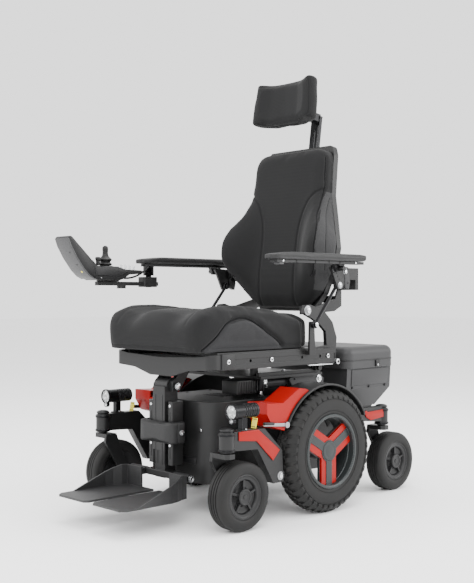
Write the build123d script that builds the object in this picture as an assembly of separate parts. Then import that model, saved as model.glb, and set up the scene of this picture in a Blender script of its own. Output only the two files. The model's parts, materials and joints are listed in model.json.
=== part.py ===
from build123d import *
import os
from math import cos, sin, sqrt, radians

# Power wheelchair, mid-wheel drive. Millimetres, +Z up, front towards -Y, occupant's left at +X.
# The model is drawn about the drive axle and moved once, at export, so that the origin
# lies on the ground under the middle of the footprint.
run_gap = 0.05             # radial clearance of a shaft in its bore
side_gap = 0.4             # clearance between faces that move past each other
seat_gap = 0.3             # clearance of a piece on the one that carries it

# drive wheels
wheel_r = 178.0
wheel_face_x = 315.0       # outer side of the tyre
tyre_width = 74.0
rim_r = 108.0
rim_wall = 9.5
spoke_width = 24.0
trim_width = 20.0
shaft_r = 12.0

# casters
caster_r = 93.0
caster_width = 60.0
caster_hub_r = 61.0
caster_trail = 44.0
caster_pin_r = 6.0
stem_r = 12.0
barrel_r = 21.0
barrel_bottom = 215.0
barrel_top = 267.0
front_stem = (276.0, -387.0)
rear_stem = (213.0, 359.0)

# caster arms
front_pivot = (-195.0, 130.0)   # y, z
rear_pivot = (195.0, 250.0)
arm_pin_r = 10.0
front_arm_width = 28.0
rear_arm_width = 28.0

# chassis
frame_half = 142.0
frame_plate = 6.0
frame_front = -280.0
frame_rear = 235.0
frame_floor = 92.0
frame_top = 281.0
motor_r = 46.0
motor_inner_x = 66.0
cover_wall = 4.0
shroud_half = 150.0
shroud_front = -325.0
deck_top = 330.0
housing_half = 170.0
housing_rear = 465.0
housing_front = 240.0
housing_top = 396.0
lid_height = 69.0
arch_r = 190.0
arch_wall = 6.0
arch_face_x = 297.0
arch_web_x = 210.0

# lift column
column_outer = 110.0
column_wall = 5.0
column_bottom = 98.3
column_top = 372.0
column_play = 0.5
head_top = 394.0
tilt_pivot = (100.0, 408.0)
tilt_pin_r = 8.0
base_bar_x = 156.0

# seat
rail_x = 205.0
rail_width = 20.0
rail_front = -347.0
rail_rear = 127.0
rail_bottom = 425.0
rail_height = 44.0
pan_sheet = 4.0
accessory_hole_r = 4.2
accessory_pitch = 80.0
accessory_y = -20.0
single_hole_y = -235.0
cushion_half = 218.0
cushion_front = -440.0
cushion_rear = 66.0
cushion_side_rear = 0.0    # the sides stop ahead of the recline hinge
cushion_waist = 168.0
cushion_height = 130.0

# back, hinged on the seat frame
recline_pivot = (25.0, 585.0)
recline_pin_r = 8.0
back_plate_x = 182.0
back_lean = 8.0
back_bottom = 590.0
back_front_y = 82.0        # front of the cushion at its bottom edge
cushion_depth = 52.0
shell_depth = 8.0
shell_offset = 14.0
post_width = 38.0
post_depth = 12.0
post_offset = 116.0        # behind the cushion's front
head_reach = 83.0          # headrest post to the headrest hinge
head_height = 652.0        # headrest hinge above the cushion's lower edge

# armrests: a parallelogram keeps them level as the back reclines
arm_pivot_back = (125.0, 702.0)
link_vector = (100.0, 117.0)
link_top = (100.0, 661.0)
flip_pivot = (74.0, 711.0)
arm_pin = 7.0
pad_x = 288.0
pad_width = 52.0
pad_front = -246.0
pad_rear = 170.0
pad_bottom = 723.0
pad_thick = 24.0
carrier_x = 254.0
rod_x = 244.0
rod_r = 5.0

# legrest
knee_pivot = (-362.0, 372.0)
leg_half = 26.0
leg_front = -393.0
leg_rear = -345.0
leg_wall = 4.0
leg_bottom = 190.0
ankle_pivot = (-385.0, 124.0)
ankle_pin_r = 6.0
plate_top = 78.0
plate_sheet = 6.0
plate_reach = 252.0        # footplate hinge to the front of the plate
calf_half = 78.0

# joystick on the right armrest
stick_x = -288.0
stick_y = -370.0
stick_z = 700.0
swing_y = -200.0
box_half = 34.0
box_bottom = 676.0
box_top = 712.0
lead_r = 3.0

# the drive axle lies this far behind the middle of the footprint
foremost = ankle_pivot[0] - plate_reach
rearmost = rear_stem[1] + caster_trail + caster_r
axle_to_middle = -(foremost + rearmost) / 2

parts = {}


def block(x0, x1, y0, y1, z0, z1):
    middle = Pos((x0 + x1) / 2, (y0 + y1) / 2, (z0 + z1) / 2)
    return middle * Box(x1 - x0, y1 - y0, z1 - z0)


def rod_along_x(x0, x1, y, z, r):
    return Pos((x0 + x1) / 2, y, z) * Rot(0, 90, 0) * Cylinder(r, x1 - x0)


def rod_along_y(y0, y1, x, z, r):
    return Pos(x, (y0 + y1) / 2, z) * Rot(90, 0, 0) * Cylinder(r, y1 - y0)


def rod_along_z(z0, z1, x, y, r):
    return Pos(x, y, (z0 + z1) / 2) * Cylinder(r, z1 - z0)


def outline(points, r=0):
    face = Sketch() + make_face(Polyline(*points, close=True))
    return fillet(face.vertices(), r) if r else face


def side_prism(points, x0, x1, r=0):
    # points are (y, z)
    return extrude(Plane.YZ.offset(x0) * outline(points, r), x1 - x0)


def plan_prism(points, z0, z1, r=0):
    # points are (x, y)
    return extrude(Plane.XY.offset(z0) * outline(points, r), z1 - z0)


def front_prism(points, y0, y1, r=0):
    # points are (x, z)
    return extrude(Plane.XZ.offset(-y1) * outline(points, r), y1 - y0)


def mirrored(points):
    # closes an outline given for x >= 0 with its mirror image
    return points + [(-x, z) for x, z in reversed(points)]


def other_side(shape):
    return mirror(shape, about=Plane.YZ)


def both_sides(shape):
    return shape.solids() + other_side(shape).solids()


def turned(profile, z):
    # a profile of (x, radius) turned about the X direction at height z
    return Pos(0, 0, z) * revolve(profile, Axis.X, 360)


# ---------------------------------------------------------------- drive wheels

def drive_tyre():
    inner_x = wheel_face_x - tyre_width
    points = [(inner_x + 5, rim_r), (inner_x, rim_r + 22), (inner_x + 3, wheel_r),
              (wheel_face_x - 3, wheel_r), (wheel_face_x, rim_r + 22), (wheel_face_x - 5, rim_r)]
    face = outline(points)
    shoulders = face.vertices().sort_by(Axis.Y)[-2:]
    return turned(fillet(shoulders, 20), wheel_r)


def in_wheel(shape, angle):
    return Pos(0, 0, wheel_r) * Rot(angle, 0, 0) * shape


def spoke_wedge(offset, reach, x0, x1):
    # the corner between two spokes, kept clear of both by the offset
    apex = offset / sin(radians(60))
    side = reach * 2
    points = [(0, apex), (side * sin(radians(60)), apex + side / 2),
              (0, apex + 2 * side), (-side * sin(radians(60)), apex + side / 2)]
    return side_prism(points, x0, x1)


def drive_rim():
    inside = rim_r - rim_wall
    rim_inner_x = wheel_face_x - tyre_width + 6
    ring = rod_along_x(rim_inner_x, wheel_face_x - 4, 0, 0, rim_r - 0.2)
    ring -= rod_along_x(rim_inner_x - 1, wheel_face_x, 0, 0, inside)
    dish = rod_along_x(282, 291, 0, 0, inside + 1)
    spokes = rod_along_x(290, 301, 0, 0, 31)
    for angle in (0, 120, 240):
        dish -= Rot(angle, 0, 0) * spoke_wedge(spoke_width / 2 + trim_width, inside, 280, 292) \
            & rod_along_x(280, 292, 0, 0, inside - 1)
        spokes += Rot(angle + 180, 0, 0) * block(290, 301, -spoke_width / 2, spoke_width / 2, 0, inside + 1)
    hub = rod_along_x(232, 290, 0, 0, 30)
    body = ring + dish + spokes + hub
    body -= rod_along_x(220, 296, 0, 0, shaft_r + run_gap)
    return Pos(0, 0, wheel_r) * body


def rim_trims():
    # three chevrons between the spokes
    reach = rim_r - rim_wall - 0.6
    trims = []
    for angle in (0, 120, 240):
        vee = spoke_wedge(spoke_width / 2 + 0.5, reach, 291.3, 299)
        vee -= spoke_wedge(spoke_width / 2 + trim_width, reach, 290, 300)
        vee &= rod_along_x(290, 300, 0, 0, reach)
        vee -= rod_along_x(290, 300, 0, 0, 31.5)
        trims += in_wheel(vee, angle).solids()
    return trims


# --------------------------------------------------------------------- casters

def caster_wheel(stem):
    x, y = stem
    axle_y = y + caster_trail
    half = caster_width / 2
    tyre = outline([(-half, caster_hub_r + 0.2), (-half, caster_r), (half, caster_r), (half,
                                                                                       caster_hub_r + 0.2)])
    tyre = revolve(fillet(tyre.vertices().sort_by(Axis.Y)[-2:], 13), Axis.X, 360)
    tread = [revolve(Pos(place, caster_r) * Circle(1.4), Axis.X, 360) for place in (-9, 0, 9)]
    tyre -= tread
    hub = rod_along_x(-half + 4, half - 4, 0, 0, caster_hub_r) - rod_along_x(12, half, 0, 0, 51)
    hub -= rod_along_x(-half, -12, 0, 0, 51)
    hub += rod_along_x(-half + 2, half - 6, 0, 0, 23)
    hub -= rod_along_x(-half, half, 0, 0, caster_pin_r + run_gap)
    place = Pos(x, axle_y, caster_r)
    return [place * tyre.solid(), place * hub.solid()]


def caster_fork(stem):
    # one leg, on the side of the wheel that faces the middle of the chair
    x, y = stem
    axle_y = y + caster_trail
    leg_out = x - caster_width / 2 - 4
    leg_in = leg_out - 10
    leg = side_prism([(y - 19, 210), (y + 19, 210), (axle_y + 16, caster_r + 14), (axle_y + 14,
                                                                                   caster_r - 14),
                      (axle_y - 14, caster_r - 14), (axle_y - 17, caster_r + 12), (y - 22, 188)],
                     leg_in, leg_out, 6)
    crown = plan_prism([(leg_in, y - 19), (x + 12, y - 19), (x + 22, y - 9), (x + 22, y + 9), (x + 12,
                                                                                               y + 19),
                        (leg_in, y + 19)], 198, 211)
    body = leg + crown + rod_along_z(205, barrel_top - 1, x, y, stem_r)
    body += rod_along_x(leg_in, x + caster_width / 2 - 3, axle_y, caster_r, caster_pin_r)
    return body


def barrel(stem):
    x, y = stem
    tube = rod_along_z(barrel_bottom, barrel_top, x, y, barrel_r) + rod_along_z(barrel_top, barrel_top + 5, x,
                                                                                y, 17)
    return tube - rod_along_z(barrel_bottom - 1, barrel_top + 1, x, y, stem_r + run_gap)


def front_arm():
    x, y = front_stem
    x0 = x - front_arm_width / 2
    pivot_y, pivot_z = front_pivot
    beam = side_prism([(y + 15, 268), (-258, 268), (-187, 200), (-182, 112), (-222, 112), (-284, 213),
                       (y + 15, 217)],
                      x0, x0 + front_arm_width)
    boss = rod_along_x(x0 - 18, x0 + front_arm_width, pivot_y, pivot_z, 17)
    body = beam + barrel(front_stem) + boss
    body -= rod_along_z(barrel_bottom - 1, barrel_top + 1, x, y, stem_r + run_gap)
    body -= rod_along_x(x0 - 30, x0 + front_arm_width - 5, pivot_y, pivot_z, arm_pin_r + run_gap)
    return body


def rear_arm():
    x, y = rear_stem
    x0 = x - rear_arm_width / 2
    pivot_y, pivot_z = rear_pivot
    beam = side_prism([(pivot_y - 16, 268), (pivot_y, 276), (y - 12, 274), (y - 12, 226), (pivot_y + 60, 234),
                       (pivot_y - 16, 232)], x0, x0 + rear_arm_width)
    body = beam + barrel(rear_stem)
    body -= rod_along_z(barrel_bottom - 1, barrel_top + 1, x, y, stem_r + run_gap)
    body -= rod_along_x(x0 - 10, x0 + rear_arm_width - 5, pivot_y, pivot_z, arm_pin_r + run_gap)
    return body


def headlight():
    # finned lamp on a short stand over the front arm
    lamp_x, lamp_z, lamp_front, lamp_rear, lamp_r = 280.0, 320.0, -374.0, -286.0, 20.0
    body = rod_along_y(lamp_front + 6, lamp_rear, lamp_x, lamp_z, lamp_r)
    for fin in range(6):
        fin_y = lamp_rear - 8 - 8 * fin
        body -= rod_along_y(fin_y - 3, fin_y, lamp_x, lamp_z, 22) - rod_along_y(fin_y - 4, fin_y + 1, lamp_x,
                                                                                lamp_z, 17)
    body += rod_along_y(lamp_front, lamp_front + 6, lamp_x, lamp_z, lamp_r + 1)
    body += rod_along_y(lamp_front, lamp_front + 10, lamp_x, lamp_z - 24, 8)
    body += block(lamp_x - 8, lamp_x + 8, lamp_front + 34, lamp_front + 52, 268.3, lamp_z - 10)
    return body


# --------------------------------------------------------------------- chassis

def base_frame():
    inner = frame_half - frame_plate
    side = side_prism([(frame_front, frame_floor), (frame_rear, frame_floor), (frame_rear, frame_top),
                       (frame_front, frame_top)], inner, frame_half, 12)
    side -= rod_along_x(inner - 1, frame_half + 1, 0, wheel_r, motor_r + seat_gap)
    front_y, front_z = front_pivot
    rear_y, rear_z = rear_pivot
    pin_front = rod_along_x(inner, front_stem[0] + front_arm_width / 2 - 6, front_y, front_z, arm_pin_r)
    collar_front = rod_along_x(frame_half, front_stem[0] - front_arm_width / 2 - 18 - side_gap, front_y,
                               front_z, 17)
    pin_rear = rod_along_x(inner, rear_stem[0] + rear_arm_width / 2 - 6, rear_y, rear_z, arm_pin_r)
    collar_rear = rod_along_x(frame_half, rear_stem[0] - rear_arm_width / 2 - side_gap, rear_y, rear_z, 17)
    half = side + pin_front + collar_front + pin_rear + collar_rear
    body = half + other_side(half)
    body += block(-inner, inner, frame_front + 12, frame_rear - 12, frame_floor, frame_floor + frame_plate)
    bridge = block(-arch_web_x + 4, arch_web_x - 4, -60, 60, frame_top - frame_plate, frame_top)
    bridge += block(-inner, inner, -110, 110, frame_top - frame_plate, frame_top)
    body += bridge
    hole = column_outer / 2 + seat_gap
    body -= block(-hole, hole, -hole, hole, frame_top - 20, frame_top + 1)
    body += block(-120, 120, frame_rear - 20, 430, 262, 268)
    for x in (-114, 114):
        body += block(x - 3, x + 3, frame_rear - 20, 430, 240, 262)
    body += block(-inner, inner, frame_rear - 26, frame_rear - 20, 240, 268)
    return body


def batteries():
    # two 12 V batteries, one on each side of the lift column
    front = block(-128, 128, -238, -70, frame_floor + frame_plate, 262)
    rear = block(-128, 128, 66, 205, frame_floor + frame_plate, 236)
    cells = []
    for case in (front, rear):
        cells += fillet(case.edges().filter_by(Axis.Z), 6).solids()
    return cells


def drive_motors():
    motor = rod_along_x(motor_inner_x, 200, 0, wheel_r, motor_r)
    motor += rod_along_x(frame_half + seat_gap, 152, 0, wheel_r, 58)
    motor += rod_along_x(200, 295, 0, wheel_r, shaft_r)
    return both_sides(motor)


def hollow_deck(half, y0, y1, z0, z1, corner):
    # a tray turned upside down, open below, with rounded upright corners at its front
    outer = plan_prism([(-half, y0), (half, y0), (half, y1), (-half, y1)], z0, z1)
    uprights = outer.edges().filter_by(Axis.Z).sort_by(Axis.Y)[:2]
    outer = fillet(uprights, corner)
    inner = plan_prism([(-half + cover_wall, y0 + cover_wall), (half - cover_wall, y0 + cover_wall),
                        (half - cover_wall, y1 - cover_wall), (-half + cover_wall, y1 - cover_wall)],
                       z0 - 1, z1 - cover_wall)
    uprights = inner.edges().filter_by(Axis.Z).sort_by(Axis.Y)[:2]
    return outer - fillet(uprights, corner - cover_wall)


def front_shroud():
    body = hollow_deck(shroud_half, shroud_front, -62, frame_floor + 6, deck_top, 60)
    body -= block(-200, 200, -222, 0, 0, frame_top + 1.5)
    top = body.edges().filter_by(Axis.X).sort_by(Axis.Z)[-2:].sort_by(Axis.Y)[:1]
    return fillet(top, 3)


def rear_housing():
    deck = hollow_deck(shroud_half - 6, 62, housing_front + 4, frame_top + 1, deck_top, 8)
    box = front_prism(mirrored([(housing_half, housing_top), (housing_half - 4, 330), (housing_half - 26,
                                                                                       269)]),
                      housing_front, housing_rear)
    hole = front_prism(mirrored([(housing_half - 5, housing_top - 4), (housing_half - 9, 330),
                                 (housing_half - 31, 273)]),
                       housing_front + 4, housing_rear - 5)
    body = box - hole
    body -= side_prism([(housing_rear - 55, 268), (housing_rear + 5, 330), (housing_rear + 5, 260)], -200,
                       200)
    body += side_prism([(housing_rear - 55, 268.9), (housing_rear + 0.1, 325), (housing_rear + 0.1, 332),
                        (housing_rear - 62, 269)], -housing_half + 26, housing_half - 26)
    return deck + body


def rear_lid():
    half = housing_half + 8
    z0 = housing_top + seat_gap
    body = block(-half, half, housing_front - 12, housing_rear + 15, z0, z0 + lid_height)
    body = fillet(body.edges().filter_by(Axis.Z), 34)
    top = body.edges().filter_by(Plane.XY).group_by(Axis.Z)[-1]
    body = fillet(top, 24)
    room = block(-half + 34, half - 34, housing_front + 22, housing_rear - 19, z0 - 1, z0 + lid_height - 9)
    return body - room


def side_covers():
    # moulded panel ahead of each drive wheel; its rear edge follows the wheel arch
    face_x = arch_face_x - 5
    points = [(-90, 364), (-118, 368), (-186, 331), (-250, 334), (-250, 304), (-228, 268), (-168, 250)]
    cut = arch_r + arch_wall + seat_gap
    outer = side_prism(points + [(-60, 250), (-60, 350)], arch_web_x + 6, face_x)
    outer -= rod_along_x(arch_web_x, face_x + 1, 0, wheel_r, cut)
    inner = side_prism([(-92, 358), (-117, 362), (-185, 325), (-244, 328), (-244, 306), (-224, 273), (-168,
                                                                                                      256),
                        (-60, 256), (-60, 350)], arch_web_x + 5, face_x - cover_wall)
    inner -= rod_along_x(arch_web_x, face_x, 0, wheel_r, cut + 5)
    cover = outer - inner
    stay = block(shroud_half + seat_gap, arch_web_x + 8, -248, -236, 300, 314)
    return both_sides(cover + stay)


def wheel_arches():
    band = rod_along_x(arch_web_x, arch_face_x, 0, 0, arch_r + arch_wall)
    band -= rod_along_x(arch_web_x - 1, arch_face_x + 1, 0, 0, arch_r)
    web = rod_along_x(arch_web_x - 4, arch_web_x, 0, 0, arch_r + arch_wall) - rod_along_x(arch_web_x - 5,
                                                                                          arch_web_x + 1, 0, 0, 112)
    sector = side_prism([(0, 0), (420, 222), (420, 420), (-420, 420), (-420, 242)], 150, 320)
    arch = Pos(0, 0, wheel_r) * ((band + web) & sector)
    arch += block(arch_web_x - 4, arch_web_x, -50, 50, frame_top - frame_plate, 300)
    return both_sides(arch)


def freewheel_lever():
    pivot_y, pivot_z = -176.0, 270.0
    x0 = arch_face_x - 4.6
    arm = side_prism([(pivot_y, pivot_z - 4), (pivot_y, pivot_z + 5), (pivot_y - 88, pivot_z + 11),
                      (pivot_y - 90, pivot_z + 4)], x0 + 1, x0 + 6)
    return arm + rod_along_x(x0, x0 + 8, pivot_y, pivot_z, 8.5)


# ------------------------------------------------------------- lift and seat

def square_tube(outside, wall, z0, z1):
    half = outside / 2
    hole = half - wall
    return block(-half, half, -half, half, z0, z1) - block(-hole, hole, -hole, hole, z0 - 1, z1 + 1)


def lift_outer():
    tube = square_tube(column_outer, column_wall, column_bottom, column_top)
    collar = square_tube(column_outer + 10, 6, frame_top + seat_gap, frame_top + 12)
    return tube + collar


def lift_mid():
    outside = column_outer - 2 * column_wall - 2 * column_play
    return square_tube(outside, column_wall, column_bottom + 6, column_top + 6)


def lift_inner():
    outside = column_outer - 4 * column_wall - 4 * column_play
    half = outside / 2
    body = square_tube(outside, column_wall, column_bottom + 12, column_top + 14)
    body += block(-half, half, -half, half, column_top + 8, column_top + 16)
    body += block(-170, 170, -150, 118, head_top - 8, head_top)
    pivot_y, pivot_z = tilt_pivot
    for side in (-1, 1):
        x = side * base_bar_x
        body += block(x - 6, x + 6, -150, 118, head_top - 1, head_top + 10)
        body += side_prism([(pivot_y - 18, head_top), (pivot_y + 18, head_top), (pivot_y + 12, pivot_z + 12),
                            (pivot_y - 12, pivot_z + 12)], x - 6, x + 6)
        body += rod_along_x(min(x, x + side * 22), max(x, x + side * 22), pivot_y, pivot_z, tilt_pin_r)
    for x in (-120, 120):
        body += rod_along_z(head_top - 1, rail_bottom + 4, x, -130, 12)
    return body


def tilt_motor():
    x0, x1 = 96.0, 148.0
    top = head_top - 8 - seat_gap
    case = side_prism([(-8, top - 8), (10, top), (132, top), (150, top - 12), (150, top - 32), (128,
                                                                                                top - 42),
                       (10, top - 34)], x0, x1, 4)
    tube = rod_along_y(-120, 20, (x0 + x1) / 2, top - 17, 15)
    foot = block(x0 + 6, x1 - 6, -138, -112, top - 34, top)
    return case + tube + foot


def seat_rail(side):
    x0 = rail_x - rail_width / 2
    x1 = rail_x + rail_width / 2
    z1 = rail_bottom + rail_height
    rail = block(x0, x1, rail_front, rail_rear, rail_bottom, z1)
    rail -= block(x0 + 4, x1 - 4, rail_front - 1, rail_rear + 1, rail_bottom + 5, z1 - 5)
    rail -= block(x1 - 2, x1 + 1, rail_front - 1, rail_rear + 1, rail_bottom + 13, z1 - 15)
    for y in (accessory_y, accessory_y + accessory_pitch, single_hole_y):
        rail -= rod_along_x(x1 - 5, x1 + 1, y, rail_bottom + rail_height / 2, accessory_hole_r)
    return rail if side > 0 else other_side(rail)


def recline_bracket():
    # bent arm that rises from the rear of the rail to the recline hinge
    y, z = recline_pivot
    x0 = rail_x - rail_width / 2 - 1 - 12
    points = [(60, 452), (154, 452), (160, 500), (140, 548), (100, 584), (y + 12, z + 18), (y - 12, z + 16),
              (y - 18, z - 8), (y + 20, z - 24), (78, z - 40), (108, 520), (112, 478), (60, 474)]
    arm = side_prism(points, x0, x0 + 12)
    foot = block(x0, rail_x - rail_width / 2 + 1, 62, 120, 452, 474)
    arm += foot
    return arm - rod_along_x(x0 - 1, x0 + 13, y, z, recline_pin_r + run_gap)


def link_anchor():
    # outrigger for the lower end of the armrest link
    y = link_top[0] - link_vector[0]
    z = link_top[1] - link_vector[1]
    post = side_prism([(y - 12, 462), (y + 14, 462), (y + 9, z + 9), (y - 9, z + 9)], rod_x - 16, rod_x - 9,
                      3)
    foot = block(rail_x + rail_width / 2 - 1, rod_x - 9, y - 12, y + 14, 455, 466)
    pin = rod_along_x(rod_x - 16, rod_x + 8, y, z, arm_pin - 2)
    return post + foot + pin


def seat_frame():
    z0 = rail_bottom + 7
    x_in = rail_x - rail_width / 2
    body = seat_rail(1) + seat_rail(-1)
    for y in (-300, -190, 40):
        body += block(-x_in - 1, x_in + 1, y - 12, y + 12, z0, z0 + 25)
    pivot_y, pivot_z = tilt_pivot
    lug = side_prism([(pivot_y - 16, rail_bottom + 10), (pivot_y + 16, rail_bottom + 10), (pivot_y + 13,
                                                                                           pivot_z - 8),
                      (pivot_y - 13, pivot_z - 8)], base_bar_x + 6 + side_gap, base_bar_x + 16, 3)
    lug += block(base_bar_x + 6 + side_gap, x_in + 1, pivot_y - 16, pivot_y + 16, rail_bottom + 2,
                 rail_bottom + 12)
    lug += block(base_bar_x + 6 + side_gap, base_bar_x + 16, 40, pivot_y, rail_bottom + 7, rail_bottom + 20)
    lug -= rod_along_x(base_bar_x, base_bar_x + 20, pivot_y, pivot_z, tilt_pin_r + run_gap)
    fittings = lug + recline_bracket() + link_anchor()
    body += fittings + other_side(fittings)
    top = rail_bottom + rail_height
    pan = block(-rail_x - 8, rail_x + 8, rail_front - 15, 50, top, top + pan_sheet)
    return body.solids() + pan.solids()


def seat_front_cover():
    # apron across the front of the seat, dropping to the legrest in the middle
    half = rail_x + 8
    front = rail_front - 39
    outer = plan_prism([(-half, front), (half, front), (half, rail_front - 0.5), (-half, rail_front - 0.5)],
                       380, 480)
    outer = fillet(outer.edges().filter_by(Axis.Z).sort_by(Axis.Y)[:2], 24)
    inner = plan_prism([(-half + 7, front + 7), (half - 7, front + 7), (half - 7, rail_front), (-half + 7,
                                                                                                rail_front)],
                       370, 490)
    inner = fillet(inner.edges().filter_by(Axis.Z).sort_by(Axis.Y)[:2], 17)
    shape = front_prism([(-half - 2, 468), (-half + 60, 461), (0, 455), (half - 60, 461), (half + 2, 468),
                         (half + 2, 427),
                         (120, 421), (48, 402), (-48, 402), (-120, 421), (-half - 2,
                                                                          427)], front - 10, rail_front + 10)
    return (outer - inner) & shape


def seat_cushion():
    z0 = rail_bottom + rail_height + pan_sheet + seat_gap
    plan = [(-cushion_half, cushion_side_rear), (-cushion_half, cushion_front), (cushion_half, cushion_front),
            (cushion_half, cushion_side_rear), (cushion_waist, cushion_side_rear), (cushion_waist,
                                                                                    cushion_rear),
            (-cushion_waist, cushion_rear), (-cushion_waist, cushion_side_rear)]
    body = plan_prism(plan, z0, z0 + cushion_height)
    body = fillet(body.edges().filter_by(Axis.Z).group_by(Axis.Y)[0], 50)
    body = fillet(body.edges().filter_by(Plane.XY).group_by(Axis.Z)[-1].sort_by(Axis.Y)[:1], 38)
    # the seat dips towards the back
    body -= side_prism([(-190, z0 + cushion_height + 2), (cushion_rear + 5, z0 + cushion_height - 26),
                        (cushion_rear + 5, z0 + cushion_height + 40), (-190,
                                                                       z0 + cushion_height + 40)], -300, 300)
    return body


# ------------------------------------------------------------------------ back

def leaned(shape):
    # backrest pieces are drawn upright and leaned about their bottom front edge
    hinge = Pos(0, back_front_y, back_bottom)
    return hinge * Rot(-back_lean, 0, 0) * hinge.inverse() * shape


def back_outline(shrink, top):
    side = [(128, back_bottom), (172, back_bottom + 55), (203, back_bottom + 150), (207, back_bottom + 200),
            (186, back_bottom + 290), (166, back_bottom + 370), (160, top - 30), (150, top)]
    return [(x - shrink, z) for x, z in side]


def back_cushion():
    top = back_bottom + 525
    right = back_outline(0, top)
    points = right + [(-x, z) for x, z in reversed(right)]
    body = front_prism(points, back_front_y, back_front_y + cushion_depth, 14)
    for inner, share in ((118, 0.45), (158, 1.0)):
        side = [(4, 40), (-50 * share, 105), (-78 * share, 150), (-84 * share, 190), (-64 * share, 255),
                (-24 * share, 320), (4, 365)]
        wing = side_prism([(back_front_y + y, back_bottom + z) for y, z in side], inner, 207)
        wing &= front_prism(points, back_front_y - 90, back_front_y + 10)
        body += wing + other_side(wing)
    return leaned(body)


def back_shell():
    y0 = back_front_y + cushion_depth + shell_offset
    right = back_outline(14, back_bottom + 531)
    points = right + [(-x, z) for x, z in reversed(right)]
    plate = front_prism(points, y0, y0 + shell_depth, 14)
    inner = [(x - 22, z) for x, z in right]
    inner[0] = (inner[0][0], back_bottom + 30)
    inner[-1] = (inner[-1][0], back_bottom + 505)
    hollow = front_prism(inner + [(-x, z) for x, z in reversed(inner)], y0 - 40, y0, 10)
    rim = front_prism(points, y0 - shell_offset + 0.5, y0, 14) - hollow
    return leaned(plate + rim)


def back_posts():
    # side plates from the recline hinge to behind the shell, the armrest outriggers and the headrest socket
    y, z = recline_pivot
    x1 = back_plate_x - 2.4
    x0 = x1 - 6
    shell_rear = back_front_y + cushion_depth + shell_offset + shell_depth
    beam_y = shell_rear + 30
    plate = side_prism([(y - 14, z + 13), (y - 14, z - 12), (y + 14, z - 12), (beam_y - 20, z - 4),
                        (beam_y + 14, z + 12),
                        (beam_y + 14, z + 72), (beam_y, z + 72), (beam_y - 16, z + 34), (y + 40,
                                                                                         z + 8)], x0, x1)
    pin = rod_along_x(x0, rail_x - rail_width / 2 - 1, y, z, recline_pin_r)
    arm_y, arm_z = arm_pivot_back
    bar_out = carrier_x - 7
    outrigger = block(x0, bar_out, beam_y, beam_y + 14, z + 62, arm_z + 12)
    outrigger += block(bar_out - 20, bar_out, arm_y + 8, beam_y + 14, arm_z - 24, arm_z + 12)
    outrigger += side_prism([(arm_y - 12, arm_z - 12), (arm_y + 12, arm_z - 24), (arm_y + 12, arm_z + 12),
                             (arm_y - 12, arm_z + 12)], bar_out - 8, bar_out)
    arm_pin_rod = rod_along_x(bar_out - 8, carrier_x + 6.5, arm_y, arm_z, arm_pin)
    half = plate + pin + outrigger + arm_pin_rod
    body = half + other_side(half)
    body += block(-x1, x1, beam_y, beam_y + 14, z + 22, z + 44)
    body += block(-x1, x1, beam_y, beam_y + 14, z + 80, z + 102)
    post_y = back_front_y + post_offset
    spine = leaned(block(-30, 30, shell_rear + 0.3, shell_rear + 9, back_bottom + 30, back_bottom + 500))
    ties = leaned(block(-20, 20, shell_rear + 6, shell_rear + 40, back_bottom + 12, back_bottom + 92))
    socket = leaned(block(-31, 31, post_y - 14, post_y + 14, back_bottom + 420, back_bottom + 490))
    ties += leaned(block(-14, 14, shell_rear + 6, post_y - 12, back_bottom + 424, back_bottom + 486))
    room = (post_width / 2 + side_gap, post_depth / 2 + side_gap)
    slot = leaned(block(-room[0], room[0], post_y - room[1], post_y + room[1], back_bottom + 100,
                        back_bottom + 700))
    return body + spine + ties + (socket - slot)


def headrest_post():
    mid = back_front_y + post_offset
    hinge_z = back_bottom + head_height
    post = block(-post_width / 2, post_width / 2, mid - post_depth / 2, mid + post_depth / 2,
                 back_bottom + 330, hinge_z + 5)
    post -= block(-4, 4, mid - 20, mid + 20, back_bottom + 350, hinge_z - 40)
    head = block(-16, 16, mid - head_reach, mid, hinge_z - 13, hinge_z + 13)
    head += Pos(0, mid - head_reach, hinge_z) * Rot(0, 90, 0) * Cylinder(13, 32)
    pin = Pos(0, mid - head_reach, hinge_z) * Rot(0, 90, 0) * Cylinder(5, 60)
    return leaned(post + head + pin)


def headrest_pad():
    mid = back_front_y + post_offset - head_reach
    hinge_z = back_bottom + head_height
    pad = plan_prism([(-128, mid - 103), (-132, mid - 65), (-60, mid - 27), (60, mid - 27), (132, mid - 65),
                      (128, mid - 103), (60, mid - 79), (-60, mid - 79)], hinge_z - 56, hinge_z + 86)
    uprights = pad.edges().filter_by(Axis.Z)
    pad = fillet(uprights, 7)
    ears = block(-28, -17, mid - 32, mid, hinge_z - 13, hinge_z + 13)
    ears += block(17, 28, mid - 32, mid, hinge_z - 13, hinge_z + 13)
    for x in (-22.5, 22.5):
        ears += Pos(x, mid, hinge_z) * Rot(0, 90, 0) * Cylinder(13, 11)
    ears -= Pos(0, mid, hinge_z) * Rot(0, 90, 0) * Cylinder(5 + run_gap, 80)
    return leaned(pad + ears)


# -------------------------------------------------------------------- armrests

def arm_carriers():
    back_y, back_z = arm_pivot_back
    tip_y, tip_z = link_top
    flip_y, flip_z = flip_pivot
    plate = side_prism([(flip_y - 22, flip_z + 10), (flip_y - 8, flip_z - 12), (tip_y - 10, tip_z - 12),
                        (tip_y + 12, tip_z - 10), (back_y + 14, back_z - 8), (back_y + 14, back_z + 14)],
                       carrier_x - 4, carrier_x + 4, 4)
    plate -= rod_along_x(carrier_x - 5, carrier_x + 5, back_y, back_z, arm_pin + run_gap)
    plate += rod_along_x(carrier_x - 18, carrier_x - 3, tip_y, tip_z, arm_pin - 2)
    plate += rod_along_x(carrier_x + 3, pad_x + 8, flip_y, flip_z, arm_pin)
    return both_sides(plate)


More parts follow.
